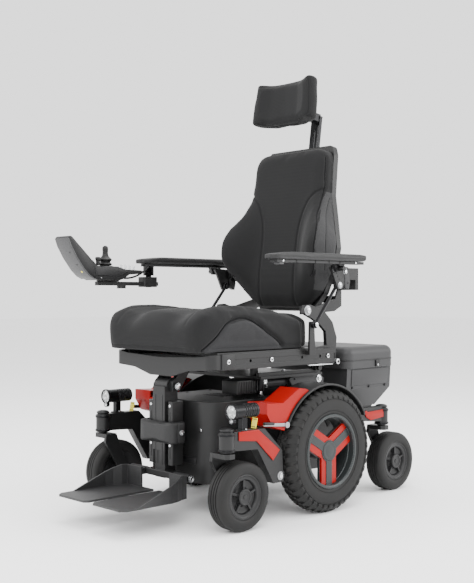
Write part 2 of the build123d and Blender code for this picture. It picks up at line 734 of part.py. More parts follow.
def arm_rods():
    top_y, top_z = link_top
    low_y = top_y - link_vector[0]
    low_z = top_z - link_vector[1]
    length = sqrt(link_vector[0] ** 2 + link_vector[1] ** 2)
    rod = rod_along_z(8, length - 8, 0, 0, rod_r)
    for z in (0, length):
        rod += rod_along_x(-4, 4, 0, z, 11)
    for z in (0, length):
        rod -= rod_along_x(-5, 5, 0, z, arm_pin - 2 + run_gap)
    lean = Vector(0, link_vector[0], link_vector[1]).get_angle(Vector(0, 0, 1))
    rod = Pos(rod_x, low_y, low_z) * Rot(-lean, 0, 0) * rod
    return both_sides(rod)


def arm_pad():
    x0 = pad_x - pad_width / 2
    x1 = pad_x + pad_width / 2
    z0 = pad_bottom + 8
    pad = plan_prism([(x0, pad_rear), (x0, pad_front + 22), (x0 + 14, pad_front), (x1 - 14, pad_front),
                      (x1, pad_front + 22), (x1, pad_rear)], z0 + seat_gap, z0 + pad_thick - 4, 8)
    pad = fillet(pad.edges().filter_by(Plane.XY).group_by(Axis.Z)[-1], 5)
    flip_y, flip_z = flip_pivot
    rail = block(pad_x - 14, pad_x + 14, pad_front + 26, pad_rear - 12, pad_bottom, z0)
    rail += side_prism([(flip_y - 26, pad_bottom + 4), (flip_y + 26, pad_bottom + 4), (flip_y + 11,
                                                                                       flip_z - 11),
                        (flip_y - 11, flip_z - 11)], carrier_x + 4 + side_gap + 8, carrier_x + 4 + side_gap + 20, 4)
    rail -= rod_along_x(carrier_x, pad_x + 20, flip_y, flip_z, arm_pin + run_gap)
    return pad.solids() + rail.solids()


def arm_pad_right():
    pad, rail = [other_side(piece) for piece in arm_pad()]
    post = rod_along_z(656, pad_bottom + 2, stick_x, swing_y, 9)
    post += block(stick_x - 12, stick_x + 12, swing_y - 12, swing_y + 12, 694, pad_bottom + 2)
    return [pad.solid(), (rail + post).solid()]


# --------------------------------------------------------------------- legrest

def leg_outer():
    y, z = knee_pivot
    column = block(-leg_half, leg_half, leg_front, leg_rear, leg_bottom, z)
    column -= block(-leg_half + leg_wall, leg_half - leg_wall, leg_front + leg_wall, leg_rear - leg_wall,
                    leg_bottom - 1, z - 26)
    head = rod_along_x(-leg_half, leg_half, y, z, 24) + block(-leg_half, leg_half, leg_front, y, z - 30, z)
    head += rod_along_x(-leg_half - 22, leg_half + 22, y, z, 8)
    body = column + head
    for side in (-1, 1):
        x0, x1 = sorted((side * (leg_half - 1), side * 34))
        body += block(x0, x1, leg_front + 12, leg_rear - 6, 292, 318)
        x0, x1 = sorted((side * 32, side * 53))
        flank = block(x0, x1, leg_front + 6, leg_rear, 150, 330)
        body += fillet(flank.edges().filter_by(Axis.Z), 4)
        x0, x1 = sorted((side * 52, side * (calf_half - 20.3)))
        body += block(x0, x1, leg_front + 18, leg_rear - 8, 232, 256)
    return body


def knee_block():
    # carries the legrest hinge from the front cross tube of the seat frame
    y, z = knee_pivot
    cheek = side_prism([(y - 13, z - 13), (y + 15, z - 13), (-300, rail_bottom + 4), (-300, rail_bottom + 18),
                        (y + 6, rail_bottom - 22), (y - 13, z + 13)], leg_half + side_gap, leg_half + 14)
    cheek -= rod_along_x(leg_half, leg_half + 30, y, z, 8 + run_gap)
    return cheek + other_side(cheek)


def leg_inner():
    y, z = ankle_pivot
    slide = leg_wall + column_play
    bar = block(-leg_half + slide, leg_half - slide, leg_front + slide, leg_rear - slide, z - 12, 335)
    cross = side_prism([(y - 8, z - 10), (y + 26, z - 12), (y + 26, z + 9), (y - 8, z + 9)], -58, 58, 3)
    pins = rod_along_x(-129, 129, y, z, ankle_pin_r)
    heads = rod_along_x(127.5, 132, y, z, 10) + rod_along_x(-132, -127.5, y, z, 10)
    return bar + cross + pins + heads


def calf_pad():
    y0 = leg_front - 17
    y1 = leg_rear - 12
    pad = block(-calf_half, calf_half, y0, y1, 212, 276)
    pad = fillet(pad.edges().filter_by(Axis.Z).sort_by(Axis.Y)[:2], 18)
    return pad - block(-calf_half + 20, calf_half - 20, leg_front - 0.5, y1 + 10, 200, 290)


def footplate():
    y, z = ankle_pivot
    tip = y - plate_reach
    plan = [(12, y - 17), (12, tip + 12), (22, tip), (138, tip), (152, tip + 16), (152, y - 85), (147,
                                                                                                  y - 62),
            (136, y - 38), (132, y - 17)]
    plate = plan_prism(plan, plate_top - plate_sheet, plate_top, 0)
    inner = [(-60, y - 22), (-60, y - 300), (147, y - 300), (147, y - 86), (142, y - 63), (131, y - 39), (127,
                                                                                                          y - 22)]
    wall = plan_prism(plan, plate_top - plate_sheet, z + 14) - plan_prism(inner, plate_top - plate_sheet - 1,
                                                                          z + 20)
    wall &= side_prism([(y - 215, plate_top - 7), (y, plate_top - 7), (y, z + 10), (y - 40, z + 12)], 62, 200)
    barrel_tube = rod_along_x(63, 126, y, z, 11)
    web = block(63, 126, y - 20, y - 4, z - 11, z + 7)
    body = plate + wall + barrel_tube + web
    return body - rod_along_x(50, 140, y, z, ankle_pin_r + run_gap)


# -------------------------------------------------------------------- joystick

def joystick_arm():
    # swing-away bar clamped round the post under the armrest
    bar = block(stick_x - 8, stick_x + 8, -403, swing_y + 34, 661, 673)
    clamp = fillet(block(stick_x - 17, stick_x + 17, swing_y - 30, swing_y + 24, 657,
                         689).edges().filter_by(Axis.Z), 5)
    knob = rod_along_z(652, 662, stick_x, -308, 14)
    body = bar + clamp + knob
    return body - rod_along_z(640, 700, stick_x, swing_y, 9 + run_gap)


def joystick_box():
    x0 = stick_x - box_half
    x1 = stick_x + box_half
    tray = side_prism([(-446, 684), (-430, box_bottom), (-318, box_bottom), (-312, 694), (-250, 696), (-246,
                                                                                                       708),
                       (-318, box_top), (-330, 716), (-412, 716), (-430, 735), (-492, 806), (-546,
                                                                                             796)], x0, x1, 3)
    tray -= rod_along_z(684, 730, stick_x, stick_y, 20)
    for index in range(4):
        y = toggle_place(index)
        tray -= block(stick_x - 7, stick_x + 7, y - 2.5, y + 2.5, 702, 720)
    tray += block(stick_x - 12, stick_x + 12, -395, -325, 673 + 0.2, box_bottom + 1)
    for side in (-1, 1):
        x = stick_x + side * 19.5
        tray += block(x - 2.5, x + 2.5, stick_y - 4, stick_y + 4, stick_z - 8, stick_z + 5)
        tray -= rod_along_x(x - 6, x + 6, stick_y, stick_z, 2 + run_gap)
    return tray


def toggle_place(index):
    return -308 + 16 * index


def toggle(index):
    y = toggle_place(index)
    tip = block(stick_x - 5, stick_x + 5, y - 1.2, y + 1.2, 706, 727)
    return fillet(tip.edges().filter_by(Axis.Y), 3) + rod_along_x(stick_x - 6.6, stick_x + 6.6, y, 706, 1.8)


def joystick_gimbal():
    ring = rod_along_z(stick_z - 3, stick_z + 3, stick_x, stick_y, 14) - rod_along_z(690, 710, stick_x,
                                                                                     stick_y, 10.5)
    ring += rod_along_x(stick_x + 12, stick_x + 21, stick_y, stick_z, 2)
    ring += rod_along_x(stick_x - 21, stick_x - 12, stick_y, stick_z, 2)
    ring -= rod_along_y(stick_y - 20, stick_y + 20, stick_x, stick_z, 2 + run_gap)
    return ring


def joystick_stick():
    hub = Pos(stick_x, stick_y, stick_z) * Sphere(8)
    hub += rod_along_y(stick_y - 13.5, stick_y + 13.5, stick_x, stick_z, 2)
    hub += rod_along_z(stick_z, 750, stick_x, stick_y, 4)
    hub += rod_along_z(746, 775, stick_x, stick_y, 8)
    return hub + Pos(stick_x, stick_y, 775) * Sphere(8)


def joystick_lead():
    # held between the housing and the underside of the armrest
    x = stick_x + 20
    route = [(x, -313.8, 684), (x, -258, 682), (x, -216, 722.6)]
    runs = [Vector(*b) - Vector(*a) for a, b in zip(route, route[1:])]
    turn = runs[0].get_angle(runs[1])
    radius = 0.45 * min(run.length for run in runs) / (sin(radians(turn / 2)) / cos(radians(turn / 2)))
    path = FilletPolyline(*route, radius=radius)
    tube = sweep(Plane(path @ 0, z_dir=path % 0) * Circle(lead_r), path)
    print("lead bend radius", round(radius, 1), "length", round(path.length, 1),
          "volume ratio", round(tube.volume / (3.14159265 * lead_r ** 2 * path.length), 4))
    return tube


# ------------------------------------------------------------------- assembly

def add(node, shape):
    solids = shape if isinstance(shape, (list, ShapeList)) else shape.solids()
    parts[node] = list(solids)


def add_pair(node, shape):
    add(node + "_left", shape)
    add(node + "_right", other_side(shape) if not isinstance(shape, list) else [other_side(s) for s in shape])


def build():
    add("base_frame", base_frame())
    add("batteries", batteries())
    add("drive_motors", drive_motors())
    add("front_shroud", front_shroud())
    add("rear_housing", rear_housing())
    add("rear_lid", rear_lid())
    add("side_covers", side_covers())
    add("wheel_arches", wheel_arches())
    add("lift_outer", lift_outer())
    add_pair("drive_tyre", drive_tyre())
    add_pair("drive_rim", drive_rim())
    add_pair("rim_trims", rim_trims())
    add_pair("front_arm", front_arm())
    add_pair("headlight", headlight())
    add_pair("rear_arm", rear_arm())
    for end, stem in (("front", front_stem), ("rear", rear_stem)):
        add_pair("caster_fork_" + end, caster_fork(stem))
        add_pair("caster_wheel_" + end, caster_wheel(stem))
    add_pair("freewheel_lever", freewheel_lever())
    add("lift_mid", lift_mid())
    add("lift_inner", lift_inner())
    add("tilt_motor", tilt_motor())
    frame, pan = seat_frame()[:-1], seat_frame()[-1:]
    add("seat_frame", (frame[0] + knee_block()).solids() + pan)
    add("seat_front_cover", seat_front_cover())
    add("seat_cushion", seat_cushion())
    add("back_posts", back_posts())
    add("back_shell", back_shell())
    add("back_cushion", back_cushion())
    add("headrest_post", headrest_post())
    add("headrest_pad", headrest_pad())
    add("arm_carriers", arm_carriers())
    add("arm_rods", arm_rods())
    add("arm_pad_left", arm_pad())
    add("arm_pad_right", arm_pad_right())
    add("leg_outer", leg_outer())
    add("leg_inner", leg_inner())
    add("calf_pad", calf_pad())
    add_pair("footplate", footplate())
    add("joystick_arm", joystick_arm())
    add("joystick_box", joystick_box())
    add("joystick_gimbal", joystick_gimbal())
    add("joystick_stick", joystick_stick())
    add("joystick_lead", joystick_lead())
    for index in range(4):
        add("toggle_" + str(index + 1), toggle(index))


build()
os.makedirs("parts", exist_ok=True)
for node, solids in parts.items():
    placed = [Pos(0, axle_to_middle, 0) * solid for solid in solids]
    export_step(Compound(children=placed) if len(placed) > 1 else placed[0], "parts/" + node + ".step")
print(len(parts), "nodes")
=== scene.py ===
import json
import math

import bmesh
import bpy
from mathutils import Matrix, Vector
from mathutils.bvhtree import BVHTree
from mathutils.kdtree import KDTree

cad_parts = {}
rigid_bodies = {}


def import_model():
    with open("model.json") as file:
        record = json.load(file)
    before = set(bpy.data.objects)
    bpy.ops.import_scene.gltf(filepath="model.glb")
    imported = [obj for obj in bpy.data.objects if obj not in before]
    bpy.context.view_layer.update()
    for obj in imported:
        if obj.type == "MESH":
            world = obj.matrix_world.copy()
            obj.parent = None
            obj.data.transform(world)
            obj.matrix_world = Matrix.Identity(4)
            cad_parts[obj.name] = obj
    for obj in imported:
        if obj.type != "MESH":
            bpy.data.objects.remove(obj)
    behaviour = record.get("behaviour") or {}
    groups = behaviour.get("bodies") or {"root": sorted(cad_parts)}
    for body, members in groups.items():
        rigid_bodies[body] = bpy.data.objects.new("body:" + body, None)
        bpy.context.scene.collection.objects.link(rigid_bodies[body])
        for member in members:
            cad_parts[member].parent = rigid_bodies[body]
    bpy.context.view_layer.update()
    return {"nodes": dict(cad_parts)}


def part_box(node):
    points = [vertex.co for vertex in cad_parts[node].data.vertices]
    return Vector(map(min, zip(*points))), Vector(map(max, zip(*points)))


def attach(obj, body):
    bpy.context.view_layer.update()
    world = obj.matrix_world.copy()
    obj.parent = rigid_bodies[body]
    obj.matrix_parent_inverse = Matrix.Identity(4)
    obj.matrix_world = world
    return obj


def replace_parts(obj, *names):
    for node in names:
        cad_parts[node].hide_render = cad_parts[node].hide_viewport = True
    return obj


for leftover in list(bpy.data.objects):
    bpy.data.objects.remove(leftover)
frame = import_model()
tyreLow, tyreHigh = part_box("drive_tyre_left")
axleY = (tyreLow[1] + tyreHigh[1]) / 2  # the drive wheels' axle, which the sizes below are measured from
print("frame loaded")


# ---- making and finishing pieces. Sizes are in millimetres from the drive axle's line on the floor


def at(x, y, z):
    return Vector((x / 1000, axleY + y / 1000, z / 1000))


def clearSelection():
    if bpy.context.mode != "OBJECT":
        bpy.ops.object.mode_set(mode="OBJECT")
    bpy.ops.object.select_all(action="DESELECT")


def choose(piece):
    clearSelection()
    piece.select_set(True)
    bpy.context.view_layer.objects.active = piece


def settle(name):
    piece = bpy.context.active_object
    piece.name = name
    bpy.ops.object.transform_apply(location=True, rotation=True, scale=True)
    return piece


def editAll(piece):
    choose(piece)
    bpy.ops.object.mode_set(mode="EDIT")
    bpy.ops.mesh.select_all(action="SELECT")


def faceOut(piece):
    editAll(piece)
    bpy.ops.mesh.remove_doubles(threshold=0.00002)
    bpy.ops.mesh.normals_make_consistent(inside=False)
    clearSelection()


def applyLast(piece):
    choose(piece)
    bpy.ops.object.modifier_apply(modifier=piece.modifiers[-1].name)


def modified(piece, kind, **settings):
    modifier = piece.modifiers.new(kind.lower(), kind)
    for name, value in settings.items():
        setattr(modifier, name, value)
    applyLast(piece)
    return piece


def roundEdges(piece, width, segments=3):
    return modified(piece, "BEVEL", width=width / 1000, segments=segments, limit_method="ANGLE",
                    angle_limit=math.radians(30))


def placed(name, data):
    piece = bpy.data.objects.new(name, data)
    bpy.context.scene.collection.objects.link(piece)
    return piece


def smooth(piece, angle=35):
    choose(piece)
    bpy.ops.object.shade_smooth_by_angle(angle=math.radians(angle))
    return piece


def box(name, low, high, edge=0):
    clearSelection()
    a, b = at(*low), at(*high)
    bpy.ops.mesh.primitive_cube_add(size=1, location=(a + b) / 2)
    bpy.context.active_object.scale = b - a
    piece = settle(name)
    return roundEdges(piece, edge) if edge else piece


def rod(name, start, end, radius, sides=32, edge=0):
    clearSelection()
    a, b = at(*start), at(*end)
    turn = (b - a).to_track_quat("Z", "Y").to_euler()
    bpy.ops.mesh.primitive_cylinder_add(vertices=sides, radius=radius / 1000, depth=(b - a).length,
                                        location=(a + b) / 2, rotation=turn)
    piece = settle(name)
    return roundEdges(piece, edge, 2) if edge else piece


def pin(name, ends, y, z, radius, sides=32, edge=0):
    # a rod straight across the chair, from one x to another
    return rod(name, (ends[0], y, z), (ends[1], y, z), radius, sides, edge)


def flatPlate(name, corners, thickness, edge=0):
    # corners lie in one plane, and the plate grows from it by the thickness vector
    clearSelection()
    bpy.ops.mesh.primitive_circle_add(vertices=len(corners), radius=0.01, fill_type="NGON")
    piece = settle(name)
    for vertex, corner in zip(piece.data.vertices, corners):
        vertex.co = at(*corner)
    editAll(piece)
    bpy.ops.mesh.extrude_region_move(TRANSFORM_OT_translate={"value": Vector(thickness) / 1000})
    clearSelection()
    faceOut(piece)
    return roundEdges(piece, edge) if edge else piece


def spun(name, profile, centre, steps=64, axis=(1, 0, 0)):
    # a closed profile of (along the axis, radius) turned all round; along X the radius is drawn upwards
    clearSelection()
    bpy.ops.mesh.primitive_circle_add(vertices=len(profile), radius=0.01, fill_type="NOTHING")
    piece = settle(name)
    along = Vector(axis)
    up = Vector((0, 0, 1)) if abs(along.z) < 0.5 else Vector((0, -1, 0))
    for vertex, (distance, radius) in zip(piece.data.vertices, profile):
        vertex.co = at(*centre) + (along * distance + up * radius) / 1000
    editAll(piece)
    bpy.ops.mesh.spin(steps=steps, angle=2 * math.pi, center=at(*centre), axis=axis)
    clearSelection()
    faceOut(piece)
    return piece


def repeatedRound(piece, count, centre, axis=(1, 0, 0)):
    editAll(piece)
    bpy.ops.mesh.spin(steps=count - 1, dupli=True, angle=2 * math.pi * (count - 1) / count,
                      center=at(*centre), axis=axis)
    clearSelection()
    return piece


def joined(name, pieces):
    clearSelection()
    for piece in pieces:
        piece.select_set(True)
    bpy.context.view_layer.objects.active = pieces[0]
    bpy.ops.object.join()
    pieces[0].name = name
    return pieces[0]


def copied(piece, name):
    twin = piece.copy()
    twin.data = piece.data.copy()
    twin.name = name
    bpy.context.scene.collection.objects.link(twin)
    return twin


def mirrored(piece):
    piece.data.transform(Matrix.Diagonal((-1, 1, 1, 1)))
    piece.data.flip_normals()
    return piece


def dress(piece, material):
    piece.data.materials.clear()
    piece.data.materials.append(material)
    return piece


def add(made, material, piece):
    made.append(dress(piece, material))


def carried(piece, body, angle=32):
    # last step of a piece: its smooth faces and the body that carries it
    smooth(piece, angle)
    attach(piece, body)
    return piece


def bothSides(left, body, angle=32):
    # the left piece and its mirror image, each on its own side's body
    pair = {"left": left, "right": mirrored(copied(left, left.name.replace("Left", "Right")))}
    for side, piece in pair.items():
        carried(piece, body + "_" + side, angle)
    return pair


def ease(value):
    value = max(0.0, min(1.0, value))
    return value * value * (3 - 2 * value)


def between(line, value):
    # the height at a place on a line given by (place, height) points
    if value <= line[0][0]:
        return line[0][1]
    for (a, low), (b, high) in zip(line, line[1:]):
        if value <= b:
            return low + (high - low) * (value - a) / (b - a)
    return line[-1][1]


# ---- materials


def linear(code):
    parts = [int(code[i:i + 2], 16) / 255 for i in (1, 3, 5)]
    return [p / 12.92 if p <= 0.04045 else ((p + 0.055) / 1.055) ** 2.4 for p in parts] + [1]


def wire(material, node, sockets):
    for name, value in sockets.items():
        if isinstance(value, bpy.types.NodeSocket):
            material.node_tree.links.new(value, node.inputs[name])
        else:
            node.inputs[name].default_value = value


def addNode(material, kind, sockets, **settings):
    node = material.node_tree.nodes.new("ShaderNode" + kind)
    for name, value in settings.items():
        setattr(node, name, value)
    wire(material, node, sockets)
    return node


def noise(material, place, scale, detail, rough=0.5):
    sockets = {"Vector": place, "Scale": scale, "Detail": detail, "Roughness": rough}
    return addNode(material, "TexNoise", sockets).outputs["Fac"]


def cells(material, place, sizeMm, random):
    sockets = {"Vector": place, "Scale": 1000 / sizeMm, "Randomness": random}
    return addNode(material, "TexVoronoi", sockets).outputs["Distance"]


def ramp(material, value, fromLow, fromHigh, toLow, toHigh):
    sockets = {"Value": value, "From Min": fromLow, "From Max": fromHigh, "To Min": toLow, "To Max": toHigh}
    return addNode(material, "MapRange", sockets).outputs["Result"]


def mixed(material, share, first, second, how="MIX"):
    sockets = {"Fac": share, "Color1": first, "Color2": second}
    return addNode(material, "MixRGB", sockets, blend_type=how).outputs["Color"]


def raised(material, height, strength, distance, under=None):
    sockets = {"Height": height, "Strength": strength, "Distance": distance}
    if under:
        sockets["Normal"] = under
    return addNode(material, "Bump", sockets).outputs["Normal"]


def roundCorner(material, radiusMm):
    return addNode(material, "Bevel", {"Radius": radiusMm / 1000}, samples=4).outputs["Normal"]


def newMaterial(name):
    material = bpy.data.materials.new(name)
    material.use_nodes = True
    shader = material.node_tree.nodes["Principled BSDF"]
    place = addNode(material, "TexCoord", {}).outputs["Object"]
    return material, shader, place


def hardSurface(name, look):
    # a hard finish: slow colour drift, worn corners, fine grain in the gloss and in the relief
    material, shader, place = newMaterial(name)
    drift = noise(material, place, 1000 / look["driftMm"], 4.0)
    colour = mixed(material, drift, linear(look["colour"]), linear(look["drift"]))
    corner = roundCorner(material, look["cornerMm"])
    flat = addNode(material, "NewGeometry", {}).outputs["Normal"]
    facing = addNode(material, "VectorMath", {0: corner, 1: flat}, operation="DOT_PRODUCT").outputs["Value"]
    worn = ramp(material, facing, 0.97, 0.7, 0.0, look["wear"])
    grain = noise(material, place, 1000 / look["grainMm"], 3.0)
    rough, spread = look["rough"], look["spread"]
    wire(material, shader, {
        "Base Color": mixed(material, worn, colour, linear(look["worn"])),
        "Roughness": ramp(material, grain, 0.3, 0.7, rough - spread, rough + spread),
        "Normal": raised(material, grain, look["relief"], look["grainMm"] / 4000, corner),
        "Metallic": look.get("metal", 0),
        "Coat Weight": look.get("lacquer", 0),
        "Coat Roughness": 0.12,
        "Specular IOR Level": look.get("shine", 0.3)})
    return material


# polyester powder baked on steel: deep black, a fine orange peel that breaks up the highlights
powderCoat = hardSurface("powderCoatedSteel", {
    "colour": "#121213", "drift": "#191919", "driftMm": 90, "cornerMm": 1.6, "wear": 0.55,
    "worn": "#484849",
    "grainMm": 1.6, "rough": 0.42, "spread": 0.07, "relief": 0.25})
# satin black anodising: harder and more metallic than the powder coat, with clean edges
blackAnodised = hardSurface("anodisedAluminium", {
    "colour": "#141415", "drift": "#1a1a1c", "driftMm": 60, "cornerMm": 1.0, "wear": 0.5, "worn": "#828285",
    "grainMm": 0.9, "rough": 0.34, "spread": 0.05, "relief": 0.08, "metal": 0.7})
# injection-moulded ABS with a spark-eroded grain, drawn at 1.4 mm so that it shows
grainedAbs = hardSurface("grainedAbs", {
    "colour": "#131314", "drift": "#181818", "driftMm": 120, "cornerMm": 2.5, "wear": 0.35,
    "worn": "#3e3e3f",
    "grainMm": 1.4, "rough": 0.48, "spread": 0.06, "relief": 0.3})
# the same ABS on the rear box, a shade lighter where light falls on it
litAbs = hardSurface("litAbs", {
    "colour": "#29292a", "drift": "#2e2e2f", "driftMm": 120, "cornerMm": 2.5, "wear": 0.3,
    "worn": "#8a8a8c",
    "grainMm": 1.4, "rough": 0.5, "spread": 0.06, "relief": 0.3})
# wet-painted red under clear lacquer: strong colour, a tight highlight over a slow drift
redLacquer = hardSurface("lacqueredRed", {
    "colour": "#930a05", "drift": "#820804", "driftMm": 140, "cornerMm": 1.5, "wear": 0.25,
    "worn": "#a9251c",
    "grainMm": 6.0, "rough": 0.4, "spread": 0.05, "relief": 0.02, "lacquer": 0.1, "shine": 0.14})
# cast aluminium wheel in dark grey paint
wheelPaint = hardSurface("paintedCastAluminium", {
    "colour": "#262a2a", "drift": "#2c2f30", "driftMm": 50, "cornerMm": 1.8, "wear": 0.5, "worn": "#8d9293",
    "grainMm": 1.2, "rough": 0.4, "spread": 0.06, "relief": 0.12, "metal": 0.25})
# bright zinc and polished stainless steel of the bolts and bars
brightSteel = hardSurface("polishedSteel", {
    "colour": "#d8d9da", "drift": "#c2c4c6", "driftMm": 20, "cornerMm": 0.6, "wear": 0.3, "worn": "#f2f2f2",
    "grainMm": 0.8, "rough": 0.2, "spread": 0.05, "relief": 0.03, "metal": 1.0})
# turned steel, duller and with the tool's marks
turnedSteel = hardSurface("turnedSteel", {
    "colour": "#9a9b9d", "drift": "#868789", "driftMm": 30, "cornerMm": 0.8, "wear": 0.4, "worn": "#d0d0d0",
    "grainMm": 0.9, "rough": 0.34, "spread": 0.08, "relief": 0.1, "metal": 1.0})
# polypropylene battery cases
polypropylene = hardSurface("polypropylene", {
    "colour": "#141516", "drift": "#19191c", "driftMm": 80, "cornerMm": 2.0, "wear": 0.2, "worn": "#393a3d",
    "grainMm": 2.0, "rough": 0.55, "spread": 0.05, "relief": 0.15})
# nylon of the knobs, clamps and joystick case: darker and finer than the covers
blackNylon = hardSurface("blackNylon", {
    "colour": "#0e0e0f", "drift": "#131314", "driftMm": 60, "cornerMm": 1.2, "wear": 0.4, "worn": "#414142",
    "grainMm": 1.0, "rough": 0.44, "spread": 0.06, "relief": 0.2})
# the joystick's rim, a lighter satin grey
greyNylon = hardSurface("greyNylon", {
    "colour": "#383839", "drift": "#3d3d3e", "driftMm": 60, "cornerMm": 1.2, "wear": 0.3, "worn": "#9a9a9c",
    "grainMm": 1.0, "rough": 0.42, "spread": 0.05, "relief": 0.15})
# yellow nylon webbing of the tie-down tags
yellowNylon = hardSurface("yellowWebbing", {
    "colour": "#e5d654", "drift": "#d3c23e", "driftMm": 8, "cornerMm": 0.8, "wear": 0.2, "worn": "#f3ebb0",
    "grainMm": 1.2, "rough": 0.7, "spread": 0.08, "relief": 0.6})
# frosted polycarbonate of the toggles
whitePolycarbonate = hardSurface("frostedPolycarbonate", {
    "colour": "#e8e9ea", "drift": "#dcdee0", "driftMm": 10, "cornerMm": 0.8, "wear": 0.2, "worn": "#ffffff",
    "grainMm": 0.8, "rough": 0.35, "spread": 0.05, "relief": 0.05})
# moulded urethane of the armrests with a leather print
armUrethane = hardSurface("mouldedUrethane", {
    "colour": "#181818", "drift": "#1c1c1d", "driftMm": 40, "cornerMm": 2.0, "wear": 0.3, "worn": "#3c3c3d",
    "grainMm": 2.6, "rough": 0.55, "spread": 0.09, "relief": 0.5})
# silicone rubber of the joystick boot and handle
siliconeRubber = hardSurface("siliconeRubber", {
    "colour": "#0b0b0b", "drift": "#101010", "driftMm": 20, "cornerMm": 0.8, "wear": 0.3, "worn": "#2e2e2f",
    "grainMm": 0.9, "rough": 0.5, "spread": 0.08, "relief": 0.15})


def tyreRubber():
    # solid rubber: matt, greyed by floor dust in patches and by scuffs round the tread
    material, shader, place = newMaterial("solidRubber")
    dust = noise(material, place, 14.0, 6.0, 0.65)
    dusty = ramp(material, dust, 0.42, 0.72, 0.0, 0.6)
    pores = noise(material, place, 900.0, 2.0)
    wire(material, shader, {
        "Base Color": mixed(material, dusty, linear("#161616"), linear("#252423")),
        "Roughness": ramp(material, dust, 0.3, 0.7, 0.5, 0.72),
        "Normal": raised(material, pores, 0.25, 0.0004),
        "Specular IOR Level": 0.2})
    return material


def knitFabric(name, colour, light, stitchMm, relief):
    # warp-knitted stretch cover: rows of small loops, a soft bloom at grazing angles, slow shade changes;
    # the colour follows the weave's height, with painted shade in its hollows and a painted highlight on
    # the raised loops
    material, shader, place = newMaterial(name)
    loops = cells(material, place, stitchMm, 0.35)
    height = mixed(material, 0.35, loops, noise(material, place, 500.0, 4.0))
    tone = mixed(material, noise(material, place, 6.0, 3.0), linear(colour), linear(light))
    # painted shade and highlight: the weave's hollows darker, its raised loops lighter
    thread = ramp(material, height, 0.15, 0.6, 0.72, 1.15)
    wire(material, shader, {
        "Base Color": mixed(material, 1.0, tone, thread, "MULTIPLY"),
        "Normal": raised(material, height, relief, stitchMm / 4000),
        "Roughness": 0.86,
        "Specular IOR Level": 0.12,
        "Sheen Weight": 0.05,
        "Sheen Roughness": 0.45})
    return material


def plateCoat():
    # footplates: textured coat with raised grip dots every 7 mm
    material, shader, place = newMaterial("grippedPowderCoat")
    dot = ramp(material, cells(material, place, 7, 0.0), 0.28, 0.2, 0.0, 1.0)
    grain = noise(material, place, 700.0, 3.0)
    fine = raised(material, grain, 0.3, 0.0004, roundCorner(material, 1.5))
    scuff = noise(material, place, 25.0, 8.0, 0.7)
    wire(material, shader, {
        "Base Color": mixed(material, scuff, linear("#151516"), linear("#202021")),
        "Normal": raised(material, dot, 0.35, 0.0006, fine),
        "Roughness": 0.5})
    return material


def lensPlastic():
    # clear polycarbonate over a bright reflector, cut into small facets; each facet's colour is painted
    # bright in its middle and darker towards its edges, a painted highlight and painted shade on the facets
    material, shader, place = newMaterial("facetedPolycarbonate")
    facets = cells(material, place, 8, 0.6)
    # painted highlight and shade of the facets: bright in each facet's middle, darker at its edges
    shade = ramp(material, facets, 0.05, 0.55, 1.0, 0.35)
    wire(material, shader, {
        "Base Color": mixed(material, 1.0, linear("#f3f5f6"), shade, "MULTIPLY"),
        "Normal": raised(material, facets, 0.9, 0.003),
        "Metallic": 0.6,
        "Roughness": 0.16})
    return material


def screenGlass():
    # the joystick's display: dark glass with faint smears in its gloss
    material, shader, place = newMaterial("displayGlass")
    smear = noise(material, place, 60.0, 5.0)
    wire(material, shader, {
        "Roughness": ramp(material, smear, 0.35, 0.7, 0.06, 0.22),
        "Base Color": mixed(material, smear, linear("#16181b"), linear("#1f2226"))})
    return material


rubber = tyreRubber()
seatKnit = knitFabric("stretchKnit", "#181819", "#1c1c1c", 1.6, 0.5)
sideKnit = knitFabric("sideKnit", "#262627", "#2a2a2b", 1.8, 0.6)
spacerMesh = knitFabric("spacerMesh", "#2e2e2e", "#333334", 3.2, 1.0)
pipingCloth = knitFabric("pipingCloth", "#070708", "#0a0a0b", 1.2, 0.4)
footCoat = plateCoat()
lens = lensPlastic()
glass = screenGlass()
print("materials made")

# the nodes that keep their own shape get their real finish
nodeFinish = {
    powderCoat: "base_frame lift_mid lift_inner seat_frame back_posts arm_carriers "
                "leg_outer leg_inner joystick_arm "
                "front_arm_left front_arm_right rear_arm_left rear_arm_right caster_fork_front_left "
                "caster_fork_front_right caster_fork_rear_left caster_fork_rear_right",
    blackAnodised: "lift_outer headrest_post arm_rods headlight_left headlight_right",
    grainedAbs: "front_shroud wheel_arches seat_front_cover back_shell",
    litAbs: "rear_housing rear_lid tilt_motor",
    redLacquer: "side_covers rim_trims_left rim_trims_right",
    wheelPaint: "drive_rim_left drive_rim_right",
    polypropylene: "batteries",
    turnedSteel: "drive_motors freewheel_lever_left freewheel_lever_right joystick_gimbal",
    whitePolycarbonate: "toggle_1 toggle_2 toggle_3 toggle_4",
    siliconeRubber: "joystick_stick",
    footCoat: "footplate_left footplate_right",
}
for material, names in nodeFinish.items():
    for name in names.split():
        dress(frame["nodes"][name], material)
print("frame nodes dressed")


# ---- drive tyres: a smooth carcass with moulded lugs

wheelHeight = 178
driveTyre = {"centre": (278, 0, wheelHeight), "half": 37, "outer": 174, "bead": 108, "lugs": 42,
             "lugRise": 4.5}


